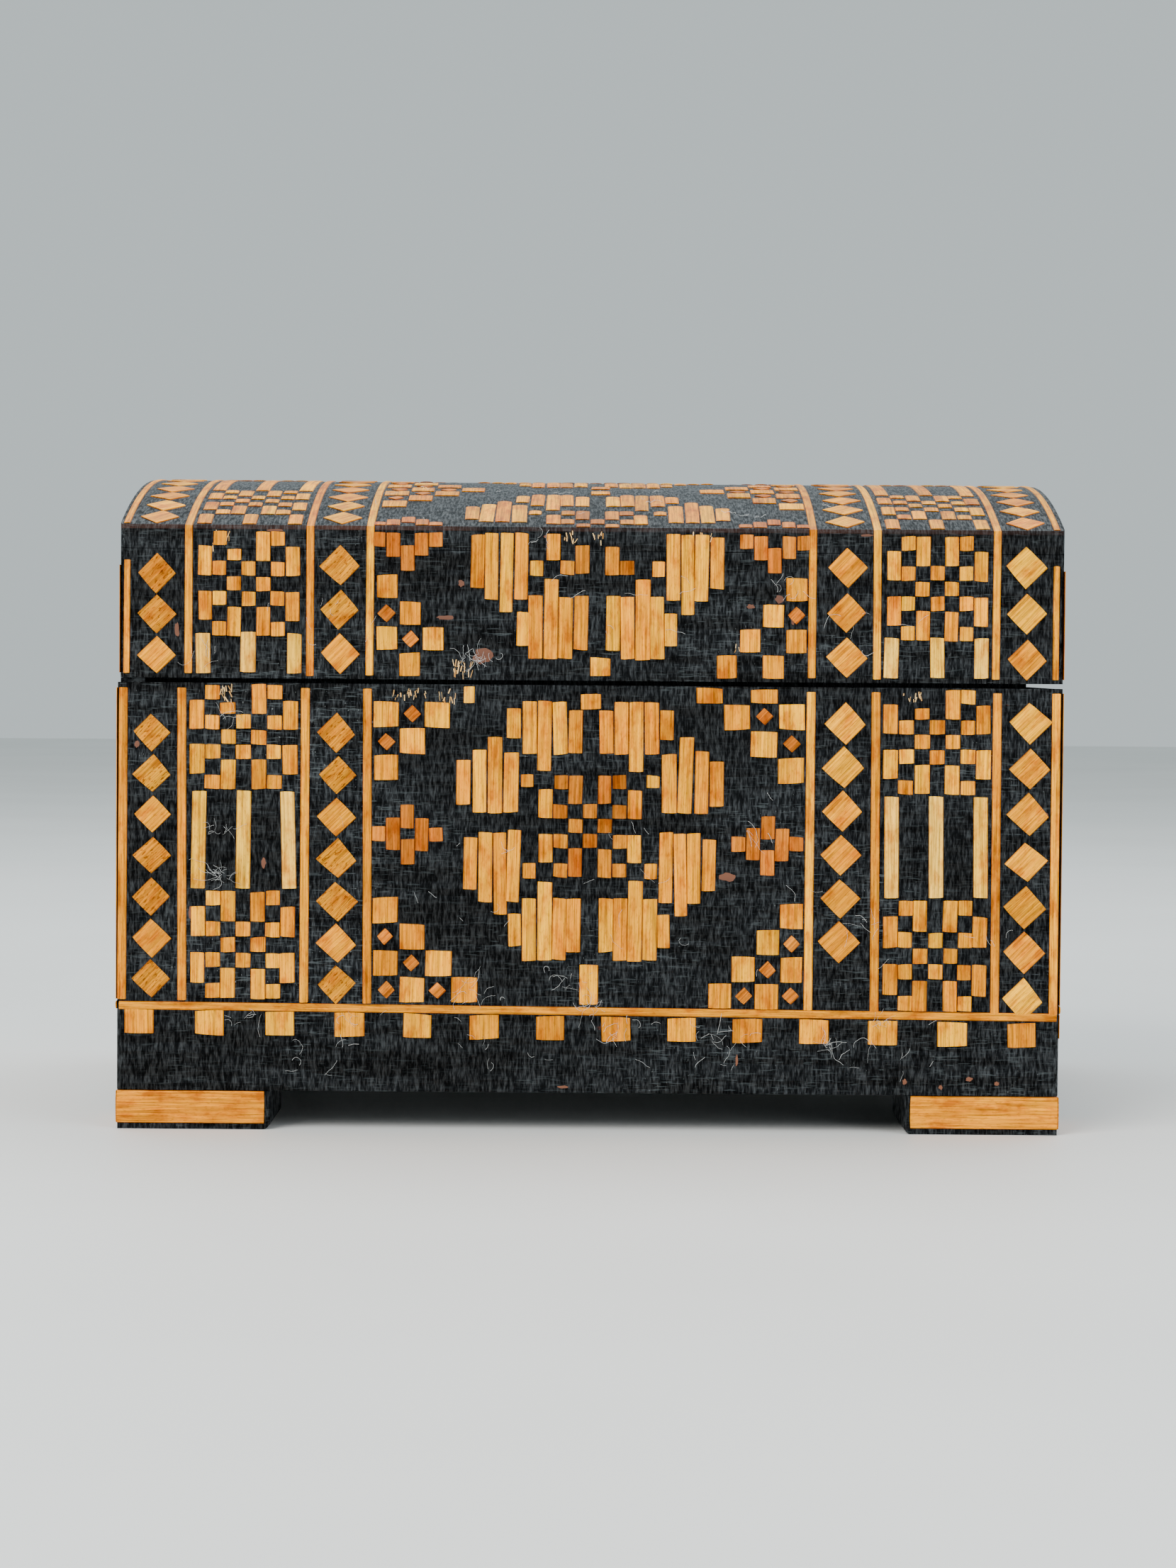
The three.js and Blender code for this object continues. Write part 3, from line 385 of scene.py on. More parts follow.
def finish_cad_nodes():
    slots = {part["node"]: part["material_slot"] for part in frame["record"]["subparts"]}
    for name, obj in NODES.items():
        kind = slots[name]
        look = "front_wood" if kind == "black_wood" else kind
        if name in SIDE_BOARDS:
            look = "side_wood"
        if name == "lid_top":
            look = "top_wood_painted_sheen"
        obj.data.materials.clear()
        obj.data.materials.append(LOOKS[look])
        weld = obj.modifiers.new("weld", "WELD")
        weld.merge_threshold = WELD_REACH
        bevel = obj.modifiers.new("bevel", "BEVEL")
        bevel.width = THIN.get(name, BEVELS[kind])
        bevel.segments = BEVEL_SEGMENTS
        bevel.limit_method = "ANGLE"
        bevel.angle_limit = BEVEL_ANGLE
        bevel.use_clamp_overlap = True


# ---- Straw: thin crowned pieces laid on a surface ----
# How far a piece strays at jitter 1: in radians, in millimetres and in shares of its size.
TURN_STRAY = 0.012
PLACE_STRAY = 0.06
WIDTH_STRAY = 0.02
LENGTH_STRAY = 0.01
SLANT_STRAY = 0.035
# Wear of the long edges, corners and cut ends, in millimetres.
EDGE_ROUND = 0.16
CORNER_ROUND = 0.09
RAGGED_END = 0.05
# Each straw has one of its tone's colours, made lighter or darker and warmer or cooler.
TONES = {
    "gold": ((0.88, 0.325, 0.002), (0.75, 0.242, 0.001), (0.94, 0.378, 0.003), (0.81, 0.275, 0.001)),
    "pale": ((0.92, 0.45, 0.03), (0.88, 0.39, 0.015), (0.95, 0.50, 0.06)),
    "red": ((0.56, 0.145, 0.010), (0.62, 0.175, 0.012), (0.50, 0.125, 0.008)),
    "brown": ((0.47, 0.13, 0.006), (0.40, 0.105, 0.005), (0.62, 0.20, 0.006)),
    "amber": ((0.62, 0.215, 0.004), (0.54, 0.18, 0.003)),
    "honey": ((0.72, 0.235, 0.003), (0.76, 0.25, 0.003)),
    "torn": ((0.78, 0.52, 0.24), (0.70, 0.44, 0.18)),
}
LIGHT_SPREAD = 0.09
WARM_SPREAD = 0.04
SPECKS = 0.3
AMBER_SPECKS = 0.85
GRAIN_SPREAD = 400


def section(width, crown):
    """A straw's cross-section as (share of width, share of height): a low crown between rounded edges."""
    edge = 0.5 - min(EDGE_ROUND / width, 0.2)
    low, high = 1 - crown, 1 - crown / 4
    return ((-0.5, 0.0), (-edge, low), (-0.24, high), (0.0, 1.0), (0.24, high), (edge, low), (0.5, 0.0))


class Straw:
    """Straw pieces for one mesh. `place` maps (u, v, height) to a point, all in millimetres."""

    def __init__(self, place, rng, knots=()):
        self.place = place
        self.knots = knots
        self.rng = rng
        self.points = []
        self.faces = []
        self.tones = []
        self.grains = []
        self.rim_glue_and_shade = []

    def stations(self, v, length, steps, turn):
        """Shares of the length, from -0.5 to 0.5, where the piece has a cross-section."""
        shares = {step / steps - 0.5 for step in range(steps + 1)}
        if abs(turn) < 0.1:
            shares |= {(knot - v) / length for knot in self.knots if abs(knot - v) < length / 2 - 0.05}
        return sorted(shares)

    def piece(self, u, v, width, length, turn=0.0, tone="gold", steps=1, jitter=1.0, height=0.2, crown=0.3):
        """One flat straw: width across its fibres, length along them, turned in radians from the v axis."""
        rng = self.rng
        turn += rng.gauss(0, TURN_STRAY) * jitter
        u += rng.gauss(0, PLACE_STRAY) * jitter
        v += rng.gauss(0, PLACE_STRAY) * jitter
        width *= 1 + rng.gauss(0, WIDTH_STRAY) * jitter
        length *= 1 + rng.gauss(0, LENGTH_STRAY) * jitter
        colour = self.tone(tone) if isinstance(tone, str) else tone
        seed = rng.uniform(0, GRAIN_SPREAD)
        shape = section(width, crown)
        cosine, sine = math.cos(turn), math.sin(turn)
        slants = [rng.gauss(0, SLANT_STRAY) * jitter for _ in range(2)]
        first = len(self.points)
        tall = height * rng.uniform(0.85, 1.2)
        shares = self.stations(v, length, steps, turn)
        last_step = len(shares) - 1
        for step, share in enumerate(shares):
            end = step in (0, last_step)
            slant = slants[0] if step == 0 else slants[1] if end else 0.0
            for across, lift in shape:
                a = across * width
                b = share * length + slant * a
                if end:
                    ragged = rng.uniform(0, RAGGED_END) if lift > 0 else 0.0
                    b -= math.copysign(ragged + CORNER_ROUND * abs(2 * across) ** 6, share)
                point = self.place(u + a * cosine - b * sine, v + a * sine + b * cosine, lift * tall)
                self.points.append(point)
                self.tones.append(colour)
                self.grains.append((a + seed, b + seed * 1.7, seed))
                # 1 along the foot of each long edge, where the straw material darkens it for the glue line
                # and painted shade.
                self.rim_glue_and_shade.append(1.0 if lift == 0 else 0.0)
        self.skin(first, last_step, len(shape))

    def skin(self, first, last_step, count):
        """The faces of a piece: its sides from each cross-section to the next, and its two ends."""
        for step in range(last_step):
            for index in range(count):
                low = first + step * count
                after = (index + 1) % count
                self.faces.append((low + index, low + after, low + count + after, low + count + index))
        self.faces.append(tuple(first + index for index in reversed(range(count))))
        last = first + last_step * count
        self.faces.append(tuple(last + index for index in range(count)))

    def tone(self, name):
        """A colour for one straw, with the amount of dark specks on it in the fourth place."""
        rng = self.rng
        red, green, blue = rng.choice(TONES[name])
        light = 1 + rng.gauss(0, LIGHT_SPREAD)
        warm = 1 + rng.gauss(0, WARM_SPREAD)
        specks = AMBER_SPECKS if name == "amber" else SPECKS
        return (red * light, green * light / warm, blue * light / warm ** 2, specks)

    def make(self, name, body):
        mesh = bpy.data.meshes.new(name)
        mesh.from_pydata(in_metres(self.points), [], self.faces)
        for key, kind, field, values in (
            ("tone", "FLOAT_COLOR", "color", [c for tone in self.tones for c in tone]),
            ("grain", "FLOAT_VECTOR", "vector", [c for grain in self.grains for c in grain]),
            ("rim", "FLOAT", "value", self.rim_glue_and_shade),
        ):
            mesh.attributes.new(key, kind, "POINT").data.foreach_set(field, values)
        mesh.validate()
        mesh.update()
        add_piece(name, mesh, "straw", body)


# ---- Surfaces: each maps (across, up, height) to a point ----
def front_face(u, v, height):
    return (u, FRONT_Y - height, BASE_Z + v)


def back_face(u, v, height):
    return (-u, BACK_Y + height, BASE_Z + v)


def left_face(u, v, height):
    return (-HALF_WIDTH - height, MIDDLE_Y - u, BASE_Z + v)


def right_face(u, v, height):
    return (HALF_WIDTH + height, MIDDLE_Y + u, BASE_Z + v)


def lid_skin(u, v, height):
    """v is 0 on the front crease, below 0 down the lid's front, above 0 over its arch and down its back."""
    x = LID_MIDDLE_X + u
    if v > ARCH_LENGTH:
        return (x, BACK_Y + height, CREASE_Z - (v - ARCH_LENGTH))
    angle = max(v, 0) / ARCH_RADIUS - ARCH_HALF_ANGLE
    share = min(max((v + CREASE_SOFT) / (2 * CREASE_SOFT), 0), 1)
    normal = Vector((0, math.sin(angle) * share - (1 - share), math.cos(angle) * share)).normalized()
    y = MIDDLE_Y + ARCH_RADIUS * math.sin(angle)
    z = ARCH_CENTRE + ARCH_RADIUS * math.cos(angle) + min(v, 0)
    return (x, y + normal.y * height, z + normal.z * height)


def lid_left_face(u, v, height):
    return (LID_LOW.x - height, MIDDLE_Y - u, LID_Z + v)


def lid_right_face(u, v, height):
    return (LID_HIGH.x + height, MIDDLE_Y + u, LID_Z + v)


# ---- Motifs ----
STAR = (
    ".XX.XX.",
    "X.X.X.X",
    "XX.X.XX",
    "..X.X..",
    "XX.X.XX",
    "X.X.X.X",
    ".XX.XX.",
)
LINE_WIDTH = 1.7
CELL = 2.85
GRID = 2.8
STEP_CELL = 4.95
TORN_LENGTH = 3.4
FLAT_CROWN = 0.12
# Gaps between neighbouring straws, side by side and end to end.
SIDE_GAP = 0.08
END_GAP = 0.12
# A straw cut at the crease stops this far above and below it, and no shorter stub is left.
CUT_ABOVE = 0.5
CUT_BELOW = 0.9
SHORTEST_STUB = 0.5
SHORTEST_STRAW = 1.0
# Straw length per cross-section on the bent lid.
BEND_STEP = 4


def runs(cells):
    """(first, count) of each unbroken run of filled cells in a column."""
    found = []
    start = None
    for index, filled in enumerate(cells + [False]):
        if filled and start is None:
            start = index
        if not filled and start is not None:
            found.append((start, index - start))
            start = None
    return found


def put(layer, u0, u1, v0, v1, tone="gold", breaks=(), **options):
    """A straw standing along v between two corners, cut where it would cross a value in breaks."""
    for edge in breaks:
        low, high = edge - CUT_BELOW, edge + CUT_ABOVE
        if v0 < high and v1 > low:
            if v0 < low - SHORTEST_STUB:
                put(layer, u0, u1, v0, low, tone, **options)
            if v1 > high + SHORTEST_STUB:
                put(layer, u0, u1, high, v1, tone, **options)
            return
    length = v1 - v0
    steps = max(1, round(length / BEND_STEP)) if layer.place is lid_skin else 1
    width = u1 - u0 - SIDE_GAP
    layer.piece((u0 + u1) / 2, (v0 + v1) / 2, width, length - END_GAP, tone=tone, steps=steps, **options)


def plain_tone(column):
    return "gold"


def brown_centre(column):
    return "brown" if 0 < column < 6 else "gold"


def star(layer, u, v, cell=CELL, tone=plain_tone, breaks=(), stretch=1.0, torn=(), missing=()):
    """The chequered star, where vertical neighbours are one straw.

    The top straw is short in the `torn` columns; each (column, place from the top) in `missing` is lost.
    """
    wide = cell * stretch
    for column in range(7):
        filled = [row[column] == "X" for row in STAR]
        for index, (first, count) in enumerate(runs(filled)):
            if (column, index) in missing:
                continue
            u0 = u + (column - 3.5) * wide
            top = v + (3.5 - first) * cell
            high = top - TORN_LENGTH if first < 2 and column in torn else top
            low = top - count * cell
            if high - low > SHORTEST_STRAW:
                put(layer, u0, u0 + wide, low, high, tone(column), breaks)


def bars(layer, u, v0, v1, tone="gold"):
    """Three upright straws in line with the star's outer and middle columns."""
    for column in (0, 3, 6):
        left = u + (column - 3.5) * CELL
        put(layer, left, left + CELL, v0, v1, tone)


def diamond(layer, u, v, half, tone="gold"):
    side = half * math.sqrt(2)
    steps = 3 if layer.place is lid_skin else 1
    layer.piece(u, v, side, side, turn=-math.pi / 4, tone=tone, steps=steps, jitter=1.6, crown=0.15)


def diamonds(layer, u, v_first, v_last, half, count=7, lean=0.0, skip=(), tone="gold"):
    """A column of diamonds, which leans sideways by `lean` from its first to its last."""
    for index in range(count):
        share = index / (count - 1)
        if index not in skip:
            shade = "gold" if index % 3 == 2 else tone
            diamond(layer, u + lean * share, v_first + (v_last - v_first) * share, half, shade)


# The left half of the big flower, in grid units from its centre: (left, right, bottom, top) of each straw.
PETAL_TOP = ((-5.7, -4.7, 5.9, 8.0), (-4.65, -3.65, 4.9, 8.5), (-3.6, -2.6, 3.7, 8.5),
             (-2.6, -1.6, 4.9, 8.5), (-1.55, -0.55, 4.9, 7.9))
PETAL_SIDE = ((-9.1, -8.1, 1.4, 4.5), (-8.05, -7.05, 0.9, 5.2), (-7.0, -5.95, 0.85, 6.1),
              (-5.9, -4.85, 0.85, 5.0))
PETAL_LOW = ((-8.6, -7.65, -4.4, -0.8), (-7.6, -6.65, -5.2, -0.4), (-6.6, -5.7, -6.1, -0.4),
             (-5.65, -4.7, -5.2, -0.3))
PETAL_BOTTOM = ((-5.5, -4.6, -8.3, -6.0), (-4.6, -3.6, -9.2, -4.9), (-3.6, -2.6, -9.2, -3.7),
                (-2.6, -1.6, -9.2, -4.9), (-1.6, -0.6, -8.6, -4.9))
LINKS = ((-4.75, -3.85, 2.6, 3.5), (-4.6, -3.7, -3.6, -2.5))


def medallion(layer, u, v, breaks=(), ends=True, grid=GRID, missing=()):
    """The big eight-petalled flower round a brown star, with a small piece above and below it."""
    for u0, u1, v0, v1 in PETAL_TOP + PETAL_SIDE + PETAL_LOW + PETAL_BOTTOM + LINKS:
        for side in (1, -1):
            a, b = sorted((side * u0, side * u1))
            put(layer, u + a * grid, u + b * grid, v + v0 * grid, v + v1 * grid, "gold", breaks, crown=0.5)
    star(layer, u, v, grid, brown_centre, breaks, missing=missing)
    if ends:
        put(layer, u - 2, u + 2, v + 7.9 * grid, v + 9.0 * grid)
        put(layer, u - 1.85, u + 1.85, v - 12.2 * grid, v - 9.4 * grid)


# Small flowers: (column, low, high) of each straw. The second is bent over the lid's front crease.
SMALL_STRAW = 2.75
SMALL_FLOWER = ((-2, -1.5, 1.5), (-1, -3.2, 3.2), (1, -3.2, 3.2), (2, -1.4, 1.4),
                (0, 1.0, 5.5), (0, -6.0, -1.0))
CREASE_STRAW = 2.7
CREASE_FLOWER = ((-2, -3.8, -0.9), (-1, -5.8, -1.1), (0, -8.3, -3.4), (1, -5.5, -1.1), (2, -3.8, -0.9),
                 (-2, 0.8, 2.7), (-1, 0.8, 4.2), (0, 2.4, 5.8), (1, 0.8, 4.2), (2, 0.8, 2.7))


def small_flower(layer, u, v, straws=SMALL_FLOWER, width=SMALL_STRAW):
    for column, low, high in straws:
        middle = u + column * width
        put(layer, middle - width / 2, middle + width / 2, v + low, v + high, "red")


STEP_START = 0.25
STEP_DIAMOND = 1.7


def steps_row(layer, u_line, side, v_low, v_high, row, cell=STEP_CELL, gap=END_GAP):
    """One row of a corner: X is a square of straw, o a small reddish diamond, read away from the line."""
    middle = (v_low + v_high) / 2
    for index, mark in enumerate(row):
        near = u_line + side * (STEP_START + index * cell)
        far = near + side * (cell - gap)
        if mark == "X":
            put(layer, *sorted((near, far)), v_low + gap / 2, v_high - gap / 2, crown=FLAT_CROWN)
        elif mark == "o":
            diamond(layer, (near + far) / 2, middle, STEP_DIAMOND, "red")


CORNER_ROWS = ("oXoX", "XoX", "oX", "X")
STEP_HEIGHT = 5.1


def corner_steps(
    layer, u_line, side, v_start, upward, rows=CORNER_ROWS, cell=STEP_CELL, tall=STEP_HEIGHT, gap=END_GAP
):
    """A stepped corner of shrinking rows; `tall` is a row's height, `gap` the space between squares."""
    for index, row in enumerate(rows):
        a = v_start + upward * index * tall
        b = a + upward * tall
        steps_row(layer, u_line, side, min(a, b), max(a, b), row, cell, gap)


def line_up(layer, u, v0, v1, width=LINE_WIDTH):
    """A long upright border straw."""
    length = v1 - v0
    layer.piece(u, (v0 + v1) / 2, width, length, steps=max(2, round(length / 3)), jitter=0.25)


def line_across(layer, u0, v0, u1, v1):
    """A long level border straw, a little prouder than the rest."""
    length = math.hypot(u1 - u0, v1 - v0)
    turn = math.atan2(v1 - v0, u1 - u0) - math.pi / 2
    steps = max(2, round(length / 6))
    layer.piece((u0 + u1) / 2, (v0 + v1) / 2, 1.6, length, turn=turn, steps=steps, jitter=0.12, height=0.26)


TOOTH_WIDTH = 5.65
TOOTH_HEIGHT = 4.8
TOOTH_PITCH = 13.0
TOOTH_DROP = 0.85
TOOTH_INSET = 3.4
LAST_TOOTH_INSET = 2.9
TOOTH_WANDER = 1.1
BAND_INSET = 0.6


def band(layer, half, left, right, inset=TOOTH_INSET, wander=0.0):
    """The line above the skirt, at the heights `left` and `right`, and the row of teeth that hangs from it.

    The first tooth's middle is `inset` from the corner, and the row wanders in one slow wave.
    """
    line_across(layer, -half + BAND_INSET, left, half - BAND_INSET, right)
    first = -half + inset
    count = int((half - LAST_TOOTH_INSET - first) / TOOTH_PITCH) + 1
    for index in range(count):
        u = first + index * TOOTH_PITCH + wander * math.sin(2 * math.pi * index / count)
        v = left + (right - left) * (u + half) / (2 * half) - TOOTH_DROP
        put(layer, u - TOOTH_WIDTH / 2, u + TOOTH_WIDTH / 2, v - TOOTH_HEIGHT, v, crown=FLAT_CROWN)


# ---- The case ----
# The pattern is laid out in millimetres from the ends and edges of each face.
def from_left(inset):
    return -HALF_WIDTH + inset


def from_right(inset):
    return HALF_WIDTH - inset


FRONT_LINES = [from_left(inset) for inset in (1.1, 12.4, 35.8, 47.7)]
FRONT_LINES += [from_right(inset) for inset in (48.0, 35.5, 12.5, 1.3)]
HALF_LINE = LINE_WIDTH / 2
BAND_LEFT = 16.4
BAND_RIGHT = 14.9
BAND_GAP = 0.8
CORNER_GAP = 0.95
TOP_GAP = 0.9
MEDALLION_HEIGHT = 51.0
SHORT_ROWS = ("XoX", "oX", "X")
FRONT_TOOTH_INSET = 4.35
BACK_TOOTH_INSET = 3.5
FRONT_TEARS = (
    (from_left(55.6), 2.9, 3.2, 1.8, 18),
    (from_left(62.8), 3.2, 1.6, 2.0, 10),
    (from_right(28.8), 2.6, 1.8, 1.6, 12),
    (from_left(20.4), 3.6, 1.4, 2.6, 14),
)


def band_height(u):
    """The front's band is a little out of level."""
    return BAND_LEFT + (BAND_RIGHT - BAND_LEFT) * (u + HALF_WIDTH) / (2 * HALF_WIDTH)


def front_straw():
    layer = Straw(front_face, random.Random(11))
    top = BASE_HEIGHT
    for u in FRONT_LINES:
        line_up(layer, u, band_height(u) + BAND_GAP, top - TOP_GAP)
    band(layer, HALF_WIDTH, BAND_LEFT, BAND_RIGHT, FRONT_TOOTH_INSET, TOOTH_WANDER)
    diamonds(layer, from_left(6.7), top - 9.4, 21.2, 3.7, tone="amber")
    diamonds(layer, from_left(41.9), top - 9.4, 20.3, 3.8, tone="amber")
    diamonds(layer, from_right(41.5), top - 6.8, 20.8, 4.0, lean=-1.0, skip=(6,))
    diamonds(layer, from_right(6.2), top - 6.5, 18.5, 4.1, lean=-0.8)
    front_stars(layer, from_left(24.1), 2.96, 1.35, torn=(2,))
    front_stars(layer, from_right(23.9), 3.04, 1.0, torn=(1, 2))
    medallion(layer, 0.15, MEDALLION_HEIGHT)
    small_flower(layer, from_left(55.4), 49.3)
    small_flower(layer, from_right(56.0), 47.8)
    left, right = FRONT_LINES[3] + HALF_LINE, FRONT_LINES[4] - HALF_LINE
    for side, line, low_cell, top_cell in ((1, left, 5.05, 4.95), (-1, right, 4.55, 5.2)):
        corner_steps(layer, line, side, band_height(line) + CORNER_GAP, 1, cell=low_cell)
        corner_steps(layer, line, side, top - 3.2, -1, rows=SHORT_ROWS, cell=top_cell)
    put(layer, from_right(59.5), from_right(54.3), top - 3.2, top - 0.4, crown=FLAT_CROWN)
    put(layer, from_right(69.8), from_right(64.6), top - 3.3, top - 0.2, crown=FLAT_CROWN)
    put(layer, from_left(66.0), from_left(68.1), top - 3.6, top - 0.3, "pale")
    for u, drop, spread, length, count in FRONT_TEARS:
        frayed(layer, u, top - drop, spread, length, count)
    layer.make("straw_front", "case")


def front_stars(layer, u, low_cell, gap, torn):
    """A panel of the front: a star at its top, one with its own cell at its bottom, bars between."""
    low = band_height(u) + gap
    star(layer, u, BASE_HEIGHT - 0.3 - 3.5 * CELL, stretch=1.03, torn=torn)
    star(layer, u, low + 3.5 * low_cell, low_cell, stretch=CELL / low_cell)
    bars(layer, u, low + 7 * low_cell + 0.3, BASE_HEIGHT - 0.6 - 7 * CELL, tone="pale")


def frayed(layer, u, v, spread, length, count):
    """Loose pale fibres where a straw has torn away."""
    rng = layer.rng
    for _ in range(count):
        layer.piece(u + rng.uniform(-spread, spread), v + rng.uniform(0, length), rng.uniform(0.12, 0.3),
                    rng.uniform(0.3, 0.7) * length, turn=rng.gauss(0, 0.25), tone="torn", height=0.12)


SIDE_OUTER = HALF_DEPTH - 0.9
SIDE_INNER = HALF_DEPTH - 12.4
SIDE_BETWEEN = (SIDE_OUTER + SIDE_INNER) / 2


def side_straw(name, place, seed):
    """The ends repeat the front's motifs at the depth of the case."""
    layer = Straw(place, random.Random(seed))
    top = BASE_HEIGHT
    for u in (-SIDE_OUTER, -SIDE_INNER, SIDE_INNER, SIDE_OUTER):
        line_up(layer, u, BAND_LEFT + BAND_GAP, top - TOP_GAP)
    band(layer, HALF_DEPTH, BAND_LEFT, BAND_LEFT)
    for u in (-SIDE_BETWEEN, SIDE_BETWEEN):
        diamonds(layer, u, top - 8.1, 22.6, 3.8)
    medallion(layer, 0, MEDALLION_HEIGHT)
    small_flower(layer, -36.5, 48.5)
    small_flower(layer, 36.5, 48.5)
    for side in (1, -1):
        line = -side * (SIDE_INNER - HALF_LINE)
        corner_steps(layer, line, side, BAND_LEFT + CORNER_GAP, 1)
        corner_steps(layer, line, side, top - 0.6, -1)
    layer.make(name, "case")


def back_straw():
    layer = Straw(back_face, random.Random(31))
    band(layer, HALF_WIDTH, BAND_LEFT, BAND_LEFT, BACK_TOOTH_INSET)
    for u in (from_left(0.9), from_right(0.9)):
        line_up(layer, u, BAND_LEFT + BAND_GAP, BASE_HEIGHT - TOP_GAP)
    layer.make("straw_back", "case")


# ---- The lid ----
LID_LINES = [from_left(inset) for inset in (13.4, 36.4, 48.0)]
LID_LINES += [from_right(inset) for inset in (48.1, 36.1, 13.0)]
LID_LINE_WIDTH = 1.5
HALF_LID_LINE = LID_LINE_WIDTH / 2
# (column, place from the top) of each straw that the flower over the crease has lost.
LOST_STRAWS = ((1, 2), (3, 1), (5, 2), (6, 1))
LID_SIDE_DIAMONDS = (
    (from_left(7.3), 19.9, 4.3, 3.75, "amber"),
    (from_left(42.1), 21.5, 4.8, 3.8, "amber"),
    (from_right(41.6), 21.7, 4.7, 3.9, "gold"),
    (from_right(7.5), 22.1, 4.4, 4.0, "gold"),
)


def lid_straw():
    layer = Straw(lid_skin, random.Random(47), knots=(-CREASE_SOFT, 0.0, CREASE_SOFT))
    middle = ARCH_LENGTH / 2
    breaks = (0.0,)
    low = -CREASE_HEIGHT
    for u in LID_LINES:
        line_up(layer, u, low + 0.7, ARCH_LENGTH, LID_LINE_WIDTH)
    for u in (from_left(1.6), from_right(1.8)):
        line_up(layer, u, low + 0.8, -6.5, 1.2)
        line_up(layer, u, 0.8, ARCH_LENGTH - 0.8, 1.3)
    for u, first, last, half, tone in LID_SIDE_DIAMONDS:
        diamonds(layer, u, low + first, low + last, half, 3, tone=tone)
        diamonds(layer, u, 4.9, ARCH_LENGTH - 4.9, 3.8, 15)
    for u, torn in ((from_left(24.7), (2,)), (from_right(24.4), ())):
        star(layer, u, low + 8.0 + 3.5 * CELL, breaks=breaks, stretch=0.97, torn=torn)
        bars(layer, u, low + 0.9, low + 8.7, tone="pale")
        bars(layer, u, 0.9, 6.6)
        star(layer, u, 7.0 + 3.5 * CELL)
        bars(layer, u, 27.4, middle - 3.5 * CELL - 0.3)
        star(layer, u, middle)
        bars(layer, u, middle + 3.5 * CELL + 0.3, ARCH_LENGTH - 27.4)
        star(layer, u, ARCH_LENGTH - 7.0 - 3.5 * CELL)
        bars(layer, u, ARCH_LENGTH - 6.6, ARCH_LENGTH - 0.9)
    medallion(layer, 0.9, 0.9, breaks, ends=False, missing=LOST_STRAWS)
    small_flower(layer, from_left(54.8), 0, CREASE_FLOWER, CREASE_STRAW)
    small_flower(layer, from_right(55.4), 0, CREASE_FLOWER, CREASE_STRAW)
    medallion(layer, 0.6, middle, ends=False)
    small_flower(layer, from_left(55.7), middle)
    small_flower(layer, from_right(55.4), middle)
    for v in (low + 2.7, 27.5, middle - 26.7, middle + 26.7, ARCH_LENGTH - 27.5):
        put(layer, -0.4, 3.5, v - 1.85, v + 1.85, crown=FLAT_CROWN)
    for side, line in ((1, LID_LINES[2] + HALF_LID_LINE), (-1, LID_LINES[3] - HALF_LID_LINE)):
        rows = (".X.X", "X.X", "oX", "X") if side < 0 else (".X", "XoX", "oX", "X")
        corner_steps(layer, line, side, low + 0.4, 1, rows=rows, cell=4.4, tall=4.9, gap=0.35)
        for centre in (middle / 2, ARCH_LENGTH - middle / 2):
            steps_row(layer, line, side, centre - STEP_CELL / 2, centre + STEP_CELL / 2, "oXoX")
            for upward in (1, -1):
                corner_steps(layer, line, side, centre + upward * STEP_CELL / 2, upward, rows=SHORT_ROWS)
    frayed(layer, from_left(65.4), low + 0.8, 1.8, 2.6, 18)
    frayed(layer, -4.2, -2.6, 1.2, 1.8, 9)
    frayed(layer, 1.2, -2.8, 1.1, 1.8, 7)
    frayed(layer, from_right(69.5), -2.4, 2.2, 1.8, 10)
    frayed(layer, from_right(61.6), low + 5.8, 1.2, 1.6, 9)
    frayed(layer, from_left(19.4), -4.4, 1.6, 2.8, 8)
    layer.make("straw_lid", "lid")


def lid_end_straw(name, place, seed):
    layer = Straw(place, random.Random(seed))
    for u in (-SIDE_OUTER, SIDE_OUTER):
        line_up(layer, u, 0.8, 21.5)
    for u in (-SIDE_INNER, SIDE_INNER):
        line_up(layer, u, 0.8, 25.5)
    for u in (-SIDE_BETWEEN, SIDE_BETWEEN):
        diamonds(layer, u, 20.6, 4.7, 3.8, 3)
    star(layer, 0, 18.0, cell=GRID, tone=brown_centre)
    for u in (-26.5, 26.5):
        small_flower(layer, u, 17.0)
    for side in (1, -1):
        corner_steps(layer, -side * (SIDE_INNER - HALF_LINE), side, 0.7, 1, rows=SHORT_ROWS)
    layer.make(name, "lid")


FEET = ("foot_front_left", "foot_front_right", "foot_back_left", "foot_back_right")
FACING_LENGTH = 28.2
FACING_LIFT = 1.1


def feet_straw():
    """A straw sheet on the outer faces of each foot."""
    for index, node in enumerate(FEET):
        low, high = corners(node)
        side_x = -1 if low.x < 0 else 1
        side_y = -1 if "front" in node else 1
        outer_x = low.x if side_x < 0 else high.x
        outer_y = low.y if side_y < 0 else high.y

        def long_face(u, v, height):
            return (outer_x - side_x * u, outer_y + side_y * height, v)

        def end_face(u, v, height):
            return (outer_x + side_x * height, outer_y - side_y * u, v)

        rng = random.Random(60 + index)
        front = Straw(long_face, rng)
        tone = front.tone("honey" if side_x < 0 else "gold")
        depth = high.y - low.y - 1.2
        width = high.z - FACING_LIFT
        end = Straw(end_face, rng)
        for layer, length in ((front, FACING_LENGTH), (end, depth)):
            along, up = length / 2 - 0.1, FACING_LIFT + width / 2
            options = {"tone": tone, "steps": 4, "jitter": 0.08, "height": 0.32, "crown": 0.08}
            layer.piece(along, up, width - 0.02, length, turn=math.pi / 2, **options)
        front.make(f"straw_{node}_long", "case")
        end.make(f"straw_{node}_end", "case")


# ---- Worn chips, lint and a strip of painted shade in the lid's seam ----
def free_mesh(name, points, faces, look, body, smooth=False):
    mesh = bpy.data.meshes.new(name)
    mesh.from_pydata(in_metres(points), [], faces)
    mesh.validate()
    if smooth:
        mesh.shade_smooth()
    return add_piece(name, mesh, look, body)


CHIP_SIDES = 14


